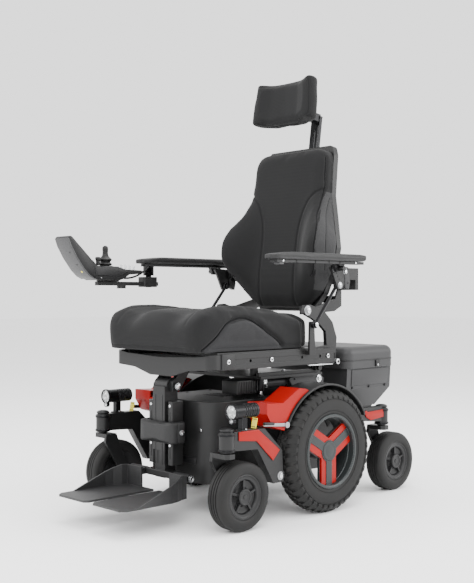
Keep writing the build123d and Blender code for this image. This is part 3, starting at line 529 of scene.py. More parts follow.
def makeDriveTyre():
    half, outer, bead = driveTyre["half"], driveTyre["outer"], driveTyre["bead"]
    right = [(half - 7, bead - 0.5), (half - 4, bead + 1), (half - 3.2, bead + 3), (half - 2.4, bead + 5),
             (half - 1.2, bead + 12), (half, bead + 24), (half - 0.5, bead + 38), (half - 3, outer - 14),
             (half - 7, outer - 7), (half - 13, outer - 2.5), (half - 22, outer - 0.6), (0, outer)]
    left = [(-x, r) for x, r in reversed(right[:-1])]
    carcass = spun("driveTyreLeft", right + left, driveTyre["centre"], 96)
    x, z = driveTyre["centre"][0], driveTyre["centre"][2]
    lugs = []
    # shoulder lugs wrap from the tread face down on to the sidewall, and lean with the rolling direction
    for side in (-1, 1):
        shoulder = box("shoulderLug", (x + side * 12, -7.5, z + outer - 3),
                       (x + side * 37, 7.5, z + outer + driveTyre["lugRise"]))
        editAll(shoulder)
        bpy.ops.mesh.subdivide(number_cuts=2)
        clearSelection()
        for vertex in shoulder.data.vertices:
            across = abs(vertex.co.x * 1000 - x) - 12
            vertex.co.z -= 0.019 * ease(across / 25) ** 1.7
            vertex.co.y += 0.006 * (across / 25) + (0.0042 if side > 0 else 0)
            vertex.co.x += side * (0.0008 if across > 16 else 0)
        lugs.append(repeatedRound(roundEdges(shoulder, 1.2, 1), driveTyre["lugs"], driveTyre["centre"]))
    # two rows of blocks fill the middle of the tread
    for side in (-1, 1):
        block = box("treadBlock", (x + side * 1.5, -5.5, z + outer - 2),
                    (x + side * 10.5, 5.5, z + outer + driveTyre["lugRise"] - 0.6))
        for vertex in block.data.vertices:
            vertex.co.y += side * 0.3 * (vertex.co.x - x / 1000)
        block.data.transform(Matrix.Translation(Vector((0, axleY, z / 1000)))
                             @ Matrix.Rotation(math.radians(4.3 + side * 1.2), 4, "X")
                             @ Matrix.Translation(Vector((0, -axleY, -z / 1000))))
        lugs.append(repeatedRound(roundEdges(block, 1.0, 1), driveTyre["lugs"], driveTyre["centre"]))
    # fine ribs where the sidewall meets the rim, and a raised ring halfway up
    rings = [spun("sidewallRing", [(36.2, r - 0.9), (37.3, r), (36.2, r + 0.9)], driveTyre["centre"],
                  96) for r in (118, 152)]
    return joined("driveTyreLeft", [carcass] + lugs + rings)


for side, tyre in bothSides(dress(makeDriveTyre(), rubber), "wheel", 30).items():
    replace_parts(tyre, "drive_tyre_" + side)
print("drive tyres")

# ---- casters: one wheel, four copies

caster = {"half": 30, "radius": 93, "rim": 61}


def makeCaster():
    half, outer = caster["half"], caster["radius"]
    grooves = []
    for middle in (-9, 0, 9):
        grooves += [(middle - 1.6, outer), (middle - 1.1, outer - 2.4), (middle + 1.1, outer - 2.4),
                    (middle + 1.6, outer)]
    tread = [(-half, 74), (-half + 0.8, 82), (-half + 3.5, 88), (-half + 8, 91.6),
             (-half + 13, 92.8)] + grooves + [(half - 13, 92.8), (half - 8, 91.6), (half - 3.5, 88),
                                              (half - 0.8, 82), (half, 74)]
    right = [(half, 68), (half - 1.4, 64.5), (half - 3.2, caster["rim"] + 0.4),
             (half - 6, caster["rim"] - 1)]
    left = [(-x, r) for x, r in reversed(right)]
    tyre = spun("casterTyre", left + tread + right, (0, 0, 0), 72)
    faces = [(half - 4, 60.6), (half - 3.2, 59), (half - 3.4, 57), (half - 5.4, 55.6), (half - 6.5, 53.5),
             (half - 7, 47.5), (half - 9, 45.4), (half - 15, 43.5), (half - 17, 36), (half - 17, 27),
             (half - 12, 23.5), (half - 4.6, 22.6), (half - 2.8, 21), (half - 2.2, 18.5),
             (half - 2.6, 17.4), (half - 3.8, 16.8), (half - 4.2, 15.6), (half - 4.2, 0)]
    back = [(-half + 6, 0), (-half + 6, 22), (-half + 18, 24), (-half + 18, 47), (-half + 4, 60.6)]
    hub = spun("casterHub", faces + back, (0, 0, 0), 48)
    dress(hub, blackNylon)
    # five ribs stand in the dished face
    rib = box("casterRib", (half - 18, -3.2, 22), (half - 9, 3.2, 45), 1.0)
    rib = repeatedRound(rib, 5, (0, 0, 0))
    dress(rib, blackNylon)
    dress(tyre, rubber)
    return joined("casterWheel", [tyre, hub, rib])


casterWheel = makeCaster()
for end in ("front", "rear"):
    for side in ("left", "right"):
        node = f"caster_wheel_{end}_{side}"
        low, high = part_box(node)
        wheel = copied(casterWheel, f"casterWheel{end.title()}{side.title()}")
        if side == "right":
            mirrored(wheel)
        wheel.data.transform(Matrix.Translation((low + high) / 2 - at(0, 0, 0)))
        carried(wheel, f"caster_{end}_{side}")
        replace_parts(wheel, node)
bpy.data.objects.remove(casterWheel)
print("casters")

# ---- red trims, caps and hinge bolts on the caster arms

armTrim = {
    "front": [(-358, 267), (-284, 267), (-200, 203), (-227, 176), (-291, 236), (-358, 243)],
    "rear": [(250, 262), (262, 268), (268, 262), (360, 265), (366, 242), (282, 235), (262, 246)],
}


def armFittings(end, stem, face):
    x, y = stem
    trim = flatPlate("armTrim", [(face + 0.3, py, pz) for py, pz in armTrim[end]], (3.4, 0, 0), 1.4)
    dress(trim, redLacquer)
    cap = spun("stemCap", [(0, 0), (0, 16), (3.5, 19.5), (7, 19), (10, 15), (11.5, 9), (12, 0)],
               (x, y, 268), 40, (0, 0, 1))
    dress(cap, blackNylon)
    collars = [spun("stemCollar", [(0, 20.5), (0, 22.6), (1, 23.2), (5, 23.2), (6, 22.6), (6, 20.5)],
                    (x, y, z), 48, (0, 0, 1)) for z in (216, 258)]
    for collar in collars:
        dress(collar, blackAnodised)
    # the bolt that holds the arm's hinge
    py, pz = (-195, 130) if end == "front" else (195, 250)
    bolt = pin("armBolt", (face - 0.5, face + 5), py, pz, 8, 6, 0.8)
    washer = pin("armWasher", (face - 0.5, face + 1.6), py, pz, 12, 32, 0.4)
    dress(bolt, brightSteel)
    dress(washer, turnedSteel)
    return joined(end + "ArmFittingsLeft", [trim, cap, bolt, washer] + collars)


for end, stem, face in (("front", (276, -387), 290), ("rear", (213, 359), 227)):
    bothSides(armFittings(end, stem, face), end + "_arm")

# ---- headlights: faceted lens in a bezel, a small marker lamp under it, a tie-down tag behind

lamp = {"x": 280, "z": 320, "front": -374, "radius": 21}


def headlightLeft():
    x, z, y, r = lamp["x"], lamp["z"], lamp["front"], lamp["radius"]
    bezel = spun("bezel", [(0, r - 2.2), (-2.2, r - 1.8), (-2.6, r - 0.6), (-1.6, r + 0.8), (6, r + 0.8),
                           (6, r - 2.2)], (x, y, z), 48, (0, 1, 0))
    front = spun("lens", [(-2.6, 0), (-2.3, 8), (-1.4, 14), (0.4, r - 2), (2, r - 2), (2, 0)], (x, y, z),
                 48, (0, 1, 0))
    marker = spun("markerLens", [(-1.8, 0), (-1.4, 5), (0, 7), (2, 7), (2, 0)], (x, y, z - 24),
                  32, (0, 1, 0))
    ring = spun("markerRing", [(0, 7), (-1.2, 7.6), (-0.4, 9), (9, 9), (9, 7)], (x, y, z - 24),
                32, (0, 1, 0))
    foot = box("lampFoot", (x - 12, y + 28, 267.4), (x + 12, y + 62, 271), 1.2)
    screws = [rod("lampScrew", (x + sx, y + 45, 270.5), (x + sx, y + 45, 273.4), 2.8, 16,
                  0.5) for sx in (-9.6, 9.6)]
    dress(bezel, blackAnodised)
    dress(front, lens)
    dress(marker, lens)
    dress(ring, blackAnodised)
    dress(foot, powderCoat)
    for screw in screws:
        dress(screw, brightSteel)
    return joined("headlightLeft", [bezel, front, marker, ring, foot] + screws)


def tieDownTag():
    tag = flatPlate("tieDownTag", [(262, -283, 268.4), (281, -283, 268.4), (281, -277, 296),
                                   (262, -277, 296)], (0, 2.4, 0), 0.8)
    dress(tag, yellowNylon)
    stitch = [box("tagStitch", (264, -283.4 + k, 272 + 4.4 * k),
                  (279, -282.2 + k, 273.2 + 4.4 * k)) for k in (0, 4.6)]
    for line in stitch:
        dress(line, armUrethane)
    return joined("tieDownTagLeft", [tag] + stitch)


for fitting in (headlightLeft(), tieDownTag()):
    bothSides(fitting, "front_arm")
print("caster arms and lamps")

# ---- drive wheels: bolts in the rim's recesses and a hub cap over the shaft

rimBolts = {"face": 291, "radius": 74, "count": 3}


def wheelFittings():
    face, height, middle = rimBolts["face"], wheelHeight - rimBolts["radius"], (0, 0, wheelHeight)
    bolt = pin("wheelBolt", (face - 1, face + 5), 0, height, 6, 6, 0.8)
    bolt = repeatedRound(bolt, rimBolts["count"], middle)
    seat = pin("boltSeat", (face - 1, face + 1.4), 0, height, 9.5, 32, 0.5)
    seat = repeatedRound(seat, rimBolts["count"], middle)
    cap = spun("hubCap", [(300, 0), (300, 27), (301.6, 28), (303, 26.5), (303.6, 22), (303, 19.5),
                          (303.4, 17), (304.2, 0)], middle, 48)
    lip = spun("rimLip", [(311, 99), (313, 99.5), (314.4, 102), (314, 106.6), (312, 108.4),
                          (309.5, 107)], middle, 96)
    dress(bolt, brightSteel)
    dress(seat, turnedSteel)
    dress(cap, wheelPaint)
    dress(lip, wheelPaint)
    return joined("wheelFittingsLeft", [bolt, seat, cap, lip])


bothSides(wheelFittings(), "wheel")

# ---- covers: the arch's bead, the rear box's latches and side panels, deck slots

rearBox = {"half": 178, "front": 228, "rear": 480, "seam": 402}


def chassisTrim():
    made = []
    for side in (-1, 1):
        # a rolled bead on the outer edge of each wheel arch
        ring = spun("archBead", [(-1.5, 190.5), (1.6, 190.5), (2.2, 193), (1.6, 195.6), (-1.5, 195.6)],
                    (side * 297, 0, wheelHeight), 120)
        editAll(ring)
        for cut in ((0, -0.5, 0.87), (0, 0.47, 0.88)):
            bpy.ops.mesh.select_all(action="SELECT")
            bpy.ops.mesh.bisect(plane_co=at(0, 0, wheelHeight), plane_no=Vector(cut).normalized(),
                                use_fill=True, clear_inner=True)
        clearSelection()
        add(made, grainedAbs, ring)
        # the rear box: a proud lower panel, a latch and its catch
        panel = flatPlate("rearBoxPanel", [(side * 170.4, 262, 392), (side * 170.4, 448, 392),
                                           (side * 167.4, 448, 340), (side * 167.4, 262, 340)],
                                           (side * 1.6, 0, 0), 0.8)
        add(made, litAbs, panel)
        latch = box("latch", (side * 176.5, 372, 398), (side * 182.5, 392, 420), 1.6)
        add(made, blackNylon, latch)
        add(made, brightSteel, pin("latchPin", (side * 181, side * 183.4), 382, 404, 3, 20, 0.5))
        # screws along the housing's lower edge
        for y in (268, 352, 436):
            add(made, blackAnodised, pin("housingScrew", (side * 164, side * 169.6), y, 334, 4, 20, 0.8))
    # lid: a raised band along the seam line, and a carrying grip moulded in its rear
    band = box("lidBand", (-rearBox["half"] - 1.2, rearBox["front"] - 1.2, rearBox["seam"] + 18),
               (rearBox["half"] + 1.2, rearBox["rear"] + 1.2, rearBox["seam"] + 22))
    editAll(band)
    clearSelection()
    heights = [[band.data.vertices[k].co.z for k in edge.vertices] for edge in band.data.edges]
    upright = [k for k, (a, b) in enumerate(heights) if abs(a - b) > 0.002]
    mesh = bmesh.new()
    mesh.from_mesh(band.data)
    mesh.edges.ensure_lookup_table()
    bmesh.ops.bevel(mesh, geom=[mesh.edges[k] for k in upright], offset=0.0345, segments=10,
                    affect="EDGES", profile=0.5)
    mesh.to_mesh(band.data)
    mesh.free()
    add(made, grainedAbs, roundEdges(band, 0.8, 2))
    grip = box("lidGrip", (-60, rearBox["rear"] - 4, 424), (60, rearBox["rear"] + 7, 446), 4)
    add(made, blackNylon, grip)
    # charging socket and breaker on the rear face
    for x, r in ((-70, 13), (70, 9)):
        add(made, blackNylon, rod("rearSocket", (x, 463, 366), (x, 469, 366), r, 40, 1))
        add(made, turnedSteel, rod("socketCore", (x, 468, 366), (x, 470, 366), r * 0.45, 24, 0.4))
    for x in (-120, 120):
        add(made, redLacquer, box("tailReflector", (x - 26, 463.5, 352), (x + 26, 468, 372), 2))
    # screws and cooling slots on the deck around the lift
    for x in (-128, 128):
        for y in (-176, -78, 84, 205):
            add(made, blackAnodised, rod("deckScrew", (x, y, 329), (x, y, 332.6), 5, 20, 0.8))
    for k in range(5):
        add(made, blackNylon, box("deckSlot", (-44, -186 + 14 * k, 329), (44, -180 + 14 * k, 331.4), 1))
    # the front shroud: a bumper strip and two fixing screws
    add(made, blackNylon, box("frontBumper", (-84, -328, 150), (84, -323.5, 170), 2))
    for x in (-104, 104):
        add(made, brightSteel, rod("shroudScrew", (x, -327.5, 250), (x, -322, 250), 5, 20, 0.8))
    return joined("chassisTrim", made)


carried(chassisTrim(), "chassis")

for side, sign in (("left", 1), ("right", -1)):
    sleeve = rod("leverSleeve" + side.title(), (sign * 295.9, -228, 277.2), (sign * 295.9, -266, 280.6),
                 4.6, 24, 1.4)
    carried(dress(sleeve, blackNylon), "lever_" + side, 35)
print("chassis trim")

# ---- under the seat: actuator clamp, power module and damper on the lift head


def liftHeadFittings():
    made = []
    # bright clamp on the tilt actuator's rod, with its cross bolt
    add(made, brightSteel, box("clampBody", (96, -128, 356), (144, -96, 384), 3))
    add(made, brightSteel, box("clampTop", (104, -121, 384), (136, -106, 386), 1))
    add(made, brightSteel, pin("clampBolt", (143, 151), -112, 370, 6.5, 6, 0.8))
    add(made, brightSteel, rod("clampNut", (120, -97, 366), (120, -84, 366), 9, 6, 0.8))
    # power module: finned case left of the clamp
    module = box("powerModule", (84, -226, 345), (150, -150, 385.4), 3)
    add(made, grainedAbs, module)
    for k in range(7):
        add(made, grainedAbs, box("moduleFin", (149.5, -220 + 10 * k, 349), (153, -216 + 10 * k, 381), 0.8))
    add(made, powderCoat, box("moduleFoot", (92, -149.6, 352), (112, -120, 385.4), 1))
    # a gas damper standing at the front, in its bracket
    add(made, blackAnodised, rod("damperTube", (160, -140, 352), (160, -140, 386), 9, 32, 1))
    add(made, brightSteel, rod("damperRod", (160, -140, 338), (160, -140, 354), 4, 24, 0.5))
    add(made, blackNylon, pin("damperEye", (154, 166), -140, 336, 7, 28, 0.8))
    # actuator: end cap bolt and seam ring
    add(made, brightSteel, pin("actuatorBolt", (146, 154), 128, 372, 8, 6, 0.8))
    add(made, brightSteel, pin("actuatorWasher", (146, 149.5), 128, 372, 11.5, 32, 0.6))
    for y in (-4, 12):
        add(made, blackNylon, rod("actuatorRing", (122, y - 2, 368.7), (122, y + 2, 368.7), 17.6, 40, 0.6))
    for y, z in ((18, 352), (18, 377), (118, 352), (118, 378)):
        add(made, blackAnodised, pin("caseScrew", (146.5, 149.4), y, z, 3.2, 16, 0.4))
    # cross plate edges: bolts that hold the head to the lift column
    for x in (-60, 60):
        for y in (-60, 60):
            add(made, turnedSteel, rod("headBolt", (x, y, 393), (x, y, 399), 7, 6, 0.8))
    return joined("liftHeadFittings", made)


carried(liftHeadFittings(), "lift_head")
print("lift head")

# ---- seat rails: screws, the bright bar and the ring pin under the rear end

seatRail = {"inner": 212.8, "outer": 217, "middle": 447}
knee = {"y": -362, "z": 372}  # the legrest hinge


def seatFittings():
    made = []
    for side in (-1, 1):
        inner, outer, z = side * seatRail["inner"], side * seatRail["outer"], seatRail["middle"]
        for y in (-322, -152, 94):
            add(made, brightSteel, pin("railScrew", (inner, outer), y, z, 6.5, 32, 1))
            add(made, blackNylon, pin("railSocket", (outer - side * 0.2, outer + side * 0.4), y, z, 3, 6))
        add(made, brightSteel, rod("brightBar", (side * 205, 15, 421.6), (side * 205, 124, 421.6),
                                   3.3, 24, 0.5))
        add(made, brightSteel, pin("ringPin", (side * 199, side * 222), 134, 428, 8, 32, 1))
        add(made, blackNylon, pin("ringPinEnd", (side * 221, side * 223.5), 134, 428, 4.4, 24, 0.6))
        add(made, blackNylon, box("railEndCap", (side * 196, 126.6, 426), (side * 214.6, 131, 468), 1.2))
        add(made, grainedAbs, box("railSleeve", (side * 194.6, -348, 424.4),
                                  (side * 216.4, -300, 469.8), 1.6))
        # recline hinge: bolt head and washer
        add(made, turnedSteel, pin("reclineWasher", (side * 193.6, side * 195.6), 25, 585, 15, 40, 0.5))
        add(made, brightSteel, pin("reclineBolt", (side * 195, side * 201), 25, 585, 9, 6, 0.8))
        # armrest link's lower eye bolt
        add(made, brightSteel, pin("linkBolt", (side * 250, side * 255), 0, 544, 7.5, 6, 0.8))
    # legrest hinge bolts under the apron
    for side in (-1, 1):
        add(made, brightSteel, pin("kneeBolt", (side * 40.6, side * 52), knee["y"], knee["z"], 8.6, 6, 0.8))
    return joined("seatFittings", made)


carried(seatFittings(), "seat")
print("seat rails")

# ---- soft goods: a plain form is evened out, softened, swollen by cloth pressure and then seamed


def evened(piece, voxelMm):
    return modified(piece, "REMESH", mode="VOXEL", voxel_size=voxelMm / 1000)


def relaxed(piece, rounds):
    return modified(piece, "SMOOTH", factor=0.5, iterations=rounds)


def inMm(point):
    return point.x * 1000, (point.y - axleY) * 1000, point.z * 1000


def moved(piece, rule):
    # each vertex goes where the rule says, in millimetres from the axle's line
    for vertex in piece.data.vertices:
        vertex.co = at(*rule(*inMm(vertex.co)))
    piece.data.update()
    return piece


def swollen(piece, pressure, capMm, held=None):
    # pressure fills the cover; no point goes further than the cap, and held points stay where they rest
    starts = [vertex.co.copy() for vertex in piece.data.vertices]
    choose(piece)
    cloth = piece.modifiers.new("stuffing", "CLOTH")
    cloth.settings.quality = 4
    cloth.settings.use_pressure = True
    cloth.settings.uniform_pressure_force = pressure
    cloth.settings.effector_weights.gravity = 0
    for step in range(1, 21):
        bpy.context.scene.frame_set(step)
    applyLast(piece)
    bpy.context.scene.frame_set(1)
    for vertex, start in zip(piece.data.vertices, starts):
        move = vertex.co - start
        if held and held(*inMm(start)):
            vertex.co = start
        elif move.length > capMm / 1000:
            vertex.co = start + move.normalized() * capMm / 1000
    return relaxed(piece, 3)


def refined(piece):
    return modified(piece, "SUBSURF", levels=1, render_levels=1)


def softLine(points, spacing=2.5):
    # a smooth line through the given points
    ends = [points[0]] + list(points) + [points[-1]]
    line = []
    for before, a, b, after in zip(ends, ends[1:], ends[2:], ends[3:]):
        before, a, b, after = Vector(before), Vector(a), Vector(b), Vector(after)
        steps = max(2, int((b - a).length / spacing))
        for k in range(steps):
            t = k / steps
            line.append(0.5 * ((2 * a) + (b - before) * t + (2 * before - 5 * a + 4 * b - after) * t * t
                               + (3 * a - before - 3 * b + after) * t ** 3))
    return [at(*point) for point in line + [Vector(points[-1])]]


seamThrow = {"start": 0.4, "reach": 0.52}  # metres: where a throw begins, and how far it may go


def seamOn(piece, guide, toward):
    # the guide is thrown on to the cover along a direction, and gives points and outward normals
    tree = BVHTree.FromPolygons([v.co for v in piece.data.vertices],
                                [p.vertices for p in piece.data.polygons])
    look = Vector(toward)
    found = []
    for point in softLine(guide):
        place, normal, _, distance = tree.ray_cast(point - look * seamThrow["start"], look)
        if place and distance < seamThrow["reach"]:
            found.append((place, normal))
    return found


def sewn(piece, seam, widthMm, depthMm):
    # pulls the cover in along a seam
    near = KDTree(len(seam))
    for index, (place, _) in enumerate(seam):
        near.insert(place, index)
    near.balance()
    shifts = []
    for vertex in piece.data.vertices:
        place, index, distance = near.find(vertex.co)
        share = math.exp(-(distance * 1000 / widthMm) ** 2)
        shifts.append((vertex, seam[index][1] * share * depthMm / 1000) if share > 0.02 else None)
    for shift in shifts:
        if shift:
            shift[0].co -= shift[1]


def drawnIn(piece, guide, toward, widthMm, depthMm):
    # sews the cover in along the guide, and gives the line where the seam then lies
    sewn(piece, seamOn(piece, guide, toward), widthMm, depthMm)
    return seamOn(piece, guide, toward)


def curveData(name, kind, radiusMm, roundness, places):
    data = bpy.data.curves.new(name, "CURVE")
    data.dimensions = "3D"
    data.bevel_depth = radiusMm / 1000
    data.bevel_resolution = roundness
    data.use_fill_caps = True
    line = data.splines.new(kind)
    line.points.add(len(places) - 1)
    for point, place in zip(line.points, places):
        point.co = (*place, 1)
    return data


def cording(name, seam, radiusMm, material, sinkMm=0.0):
    # a round cord laid along a seam
    places = [place - normal * sinkMm / 1000 for place, normal in seam]
    choose(placed(name, curveData(name, "POLY", radiusMm, 2, places)))
    bpy.ops.object.convert(target="MESH")
    return dress(bpy.context.active_object, material)


thread = {"wideMm": 0.9, "highMm": 0.7, "liftMm": 0.1, "overlap": 1.15}


def stitches(name, seam, asideMm, material):
    # one thread every few millimetres, beside the seam
    mesh = bmesh.new()
    for k in range(1, len(seam) - 2, 2):
        a, normal = seam[k]
        b = seam[k + 1][0]
        along = (b - a).normalized()
        side = normal.cross(along).normalized()
        turn = Matrix((along, side, normal)).transposed().to_4x4()
        place = (a + b) / 2 + side * asideMm / 1000 + normal * thread["liftMm"] / 1000
        size = Matrix.Diagonal(((b - a).length * thread["overlap"], thread["wideMm"] / 1000,
                                thread["highMm"] / 1000, 1))
        bmesh.ops.create_cube(mesh, size=1, matrix=Matrix.Translation(place) @ turn @ size)
    data = bpy.data.meshes.new(name)
    mesh.to_mesh(data)
    mesh.free()
    return dress(placed(name, data), material)


def panelled(piece, material, rule):
    # faces whose middle meets the rule take a second fabric
    piece.data.materials.append(material)
    for face in piece.data.polygons:
        if rule(*inMm(face.center), face.normal):
            face.material_index = len(piece.data.materials) - 1


def upholstered(piece, body, node, angle=50):
    carried(piece, body, angle)
    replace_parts(piece, node)


# ---- seat cushion: rolled front, side bolsters, thigh troughs, a lighter panel under each side's arch

seatPad = {"half": 218, "waist": 168, "front": -440, "rear": 66, "sideRear": 0, "base": 473.3}
seatCrown = [(-440, 548), (-428, 571), (-405, 586), (-350, 592), (-275, 591), (-180, 587), (-80, 580),
             (0, 574), (66, 568)]
seatBolster = [(-440, 0), (-380, 8), (-320, 13), (-272, 14), (-200, 11), (-120, 3), (-60, -7),
               (0, -18), (66, -20)]
seatArch = [(-404, 480), (-376, 502), (-357, 520), (-339, 542), (-320, 556), (-281, 567), (-243, 566),
            (-203, 550), (-162, 526), (-121, 506), (-98, 488)]


slabTop = {"front": 603.3, "rear": 605.3, "fallFrom": -190, "drop": 28, "over": 261}


def seatSlab(y):
    # top of the plain slab, which is level at the front and falls towards the rear
    fall = (y - slabTop["fallFrom"]) * slabTop["drop"] / slabTop["over"]
    return min(slabTop["front"], slabTop["rear"] - fall)


def seatTop(x, y):
    bolster = between(seatBolster, y) * ease((abs(x) - 138) / 55)
    trough = -15 * math.exp(-((abs(x) - 100) / 42) ** 2) * ease((40 - y) / 160)
    return between(seatCrown, y) + bolster + trough


def seatShape(x, y, z):
    base, flat = seatPad["base"], seatSlab(y)
    share = max(0.0, (z - base) / (flat - base))
    z = base + share * (seatTop(x, y) - 3 - base)
    # the front rolls under, and the sides lean in a little towards the top
    y = y + 10 * ease((-380 - y) / 60) * (1 - share) ** 2
    return x * (0.985 - 0.012 * share), y, z


def makeSeat():
    half, waist = seatPad["half"], seatPad["waist"]
    plan = [(-half, seatPad["sideRear"]), (-half, -405), (-half + 12, -430),
            (-half + 40, seatPad["front"]), (half - 40, seatPad["front"]), (half - 12, -430), (half, -405),
            (half, seatPad["sideRear"]), (waist, seatPad["sideRear"]), (waist, seatPad["rear"]),
            (-waist, seatPad["rear"]), (-waist, seatPad["sideRear"])]
    seat = flatPlate("seatCushion", [(x, y, seatPad["base"]) for x, y in plan], (0, 0, 126))
    evened(seat, 8)
    moved(seat, lambda x, y, z: (x, y, min(z, seatSlab(y))))
    moved(seat, seatShape)
    evened(seat, 6)
    relaxed(seat, 22)
    swollen(seat, 4, 8, lambda x, y, z: z < seatPad["base"] + 6)
    refined(seat)
    moved(seat, lambda x, y, z: (x, y, max(z, seatPad["base"])))
    dress(seat, seatKnit)
    trims = []
    for side in (-1, 1):
        inward = (-side, 0, 0)
        arch = drawnIn(seat, [(side * 200, y, z) for y, z in seatArch], inward, 7, 9)
        trims.append(cording("seatPiping", arch, 3.4, pipingCloth, 0.6))
        trims.append(stitches("seatStitch", arch, 7, pipingCloth))
        # rear seam of the cover
        rear = [(side * 200, y, z) for y, z in ((-12, 486), (-14, 520), (-18, 552))]
        sewn(seat, seamOn(seat, rear, inward), 3.5, 2)
        # the trough's edge seams along the top
        top = [(side * x, y, 500) for x, y in
               ((152, -425), (157, -350), (160, -250), (156, -150), (150, -60), (146, 20))]
        sewn(seat, seamOn(seat, top, (0, 0, -1)), 6, 1.2)
        # hem just above the pan
        hem = [(side * 200, y, 484) for y in (-390, -300, -200, -100, -10)]
        sewn(seat, seamOn(seat, hem, inward), 4, 2)
    hem = [(x, -300, 486) for x in (-180, -90, 0, 90, 180)]
    sewn(seat, seamOn(seat, hem, (0, 1, 0)), 4, 2.4)

    def underArch(x, y, z, normal):
        onSide = abs(x) > 195 and abs(normal.x) > 0.5
        return onSide and seatArch[0][0] < y < seatArch[-1][0] and z < between(seatArch, y)

    panelled(seat, sideKnit, underArch)
    upholstered(joined("seatCushion", [seat] + trims), "seat", "seat_cushion")


makeSeat()
print("seat cushion")

# ---- back cushion: drawn upright from its lower front edge and leaned with the back

backPad = {"hinge": (82, 590), "lean": 8, "depth": 52, "wingReach": 0.93}
backOutline = [(96, -4), (134, 18), (160, 42), (182, 76), (198, 118), (207, 165), (208, 200), (201, 240),
               (189, 285), (176, 330), (168, 372), (164, 420), (161, 470), (156, 500),
               (142, 518), (118, 525)]
wingLine = [(40, 0), (70, 22), (105, 52), (150, 79), (190, 84), (225, 77), (255, 64), (290, 42),
            (320, 24), (365, 0)]
backFront = [(-10, 30), (12, 17), (40, 6), (80, 0), (120, -3), (200, -2), (330, 0), (480, 0),
             (510, 4), (530, 12)]


def leanBack(piece):
    y, z = backPad["hinge"]
    turn = Matrix.Rotation(math.radians(-backPad["lean"]), 4, "X")
    piece.data.transform(Matrix.Translation(at(0, y, z)) @ turn @ Matrix.Translation(-at(0, y, z)))
    return piece


def backShape(x, y, z):
    front, low = backPad["hinge"]
    share = ease((abs(x) - 78) / 112)
    toFront = max(0.0, min(1.0, (front + backPad["depth"] - y) / backPad["depth"]))
    forward = between(wingLine, z - low) * share - between(backFront, z - low)
    return x, y - forward * toFront, z


def makeBack():
    front, low = backPad["hinge"]
    outline = backOutline + [(-x, z) for x, z in reversed(backOutline)]
    back = flatPlate("backCushion", [(x * 0.985, front + 2, low + 4 + z * 0.985) for x, z in outline],
                     (0, backPad["depth"] - 3, 0))
    evened(back, 9)
    moved(back, backShape)
    evened(back, 6)
    relaxed(back, 14)
    swollen(back, 4, 7, lambda x, y, z: y > front + backPad["depth"] - 8)
    refined(back)
    moved(back, lambda x, y, z: (x, min(y, front + backPad["depth"]), z))
    dress(back, seatKnit)
    trims = []
    for side in (-1, 1):
        # lumbar seams run up the middle and flare out above the wings
        guide = [(side * x, front - 60, low + z) for x, z in
                 ((75, 14), (75, 90), (75, 170), (76, 235), (84, 285), (104, 335), (130, 363), (156, 377))]
        seam = seamOn(back, guide, (0, 1, 0))
        sewn(back, seam, 4.5, 3)
        trims.append(stitches("backStitch", seam, 3.2, pipingCloth))
        # piping along the wing's edge, up to the top corner
        edge = [(side * (between([(z0, x0) for x0, z0 in backOutline], z) + 20),
                 front + 14 - backPad["wingReach"] * between(wingLine, z),
                 low + z) for z in (98, 125, 155, 190, 225, 255, 290, 330, 380, 430, 480)]
        pipe = drawnIn(back, edge, (-side, 0, 0), 5, 3.4)
        trims.append(cording("backPiping", pipe, 2.6, pipingCloth, 0.5))
        # the mesh side panel's inner seam
        inner = [(side * 230, front + y, low + z) for z, y in ((352, 34), (318, 18), (280, 2), (240, -10),
                                                               (200, -16), (160, -12), (120, 2))]
        seam = drawnIn(back, inner, (-side, 0, 0), 3.5, 2.4)
        trims.append(cording("backPanelSeam", seam, 1.2, pipingCloth, 0.4))

    def meshSide(x, y, z, normal):
        height = z - low
        return abs(x) > 120 and normal.x * x > 0.45 * abs(x) and 60 < height < 372 \
            and front + 16 - backPad["wingReach"] * between(wingLine, height) < y < front + 46

    panelled(back, spacerMesh, meshSide)
    upholstered(leanBack(joined("backCushion", [back] + trims)), "back", "back_cushion")


makeBack()
print("back cushion")

# ---- headrest: a curved pad on two ears, seamed round its face

headPad = {"middle": 115, "hinge": 1242, "low": -56}


def makeHeadrest():
    mid, z = headPad["middle"], headPad["hinge"]
    plan = [(-126, -100), (-131, -76), (-122, -52), (-62, -29), (0, -26), (62, -29), (122, -52),
            (131, -76), (126, -100), (112, -101), (60, -80), (0, -76), (-60, -80), (-112, -101)]
    pad = flatPlate("headrestPad", [(x, mid + y, z + headPad["low"] + 3) for x, y in plan], (0, 0, 136))
    evened(pad, 5)
    # narrower towards the top, and the lower edge sags in the middle
    moved(pad, lambda x, y, h: (x * (1.0 - 0.07 * ease((h - z + 10) / 96)), y,
                                h - 7 * (1 - (x / 132) ** 2) * ease((z + 20 - h) / 76)))
    evened(pad, 4)
    relaxed(pad, 26)
    swollen(pad, 4, 4)
    refined(pad)
    dress(pad, seatKnit)
    outline = [(-119, 8), (-112, 60), (-96, 72), (0, 75), (96, 72), (112, 60), (119, 8), (121, -32),
               (108, -48), (0, -58), (-108, -48), (-121, -32), (-119, 8)]
    seam = drawnIn(pad, [(x, mid - 60, z + h) for x, h in outline], (0, 1, 0), 4, 1.2)
    piping = cording("headrestPiping", seam, 1.1, pipingCloth, 0.8)
    upholstered(leanBack(joined("headrestPad", [pad, piping])), "headrest", "headrest_pad")


makeHeadrest()


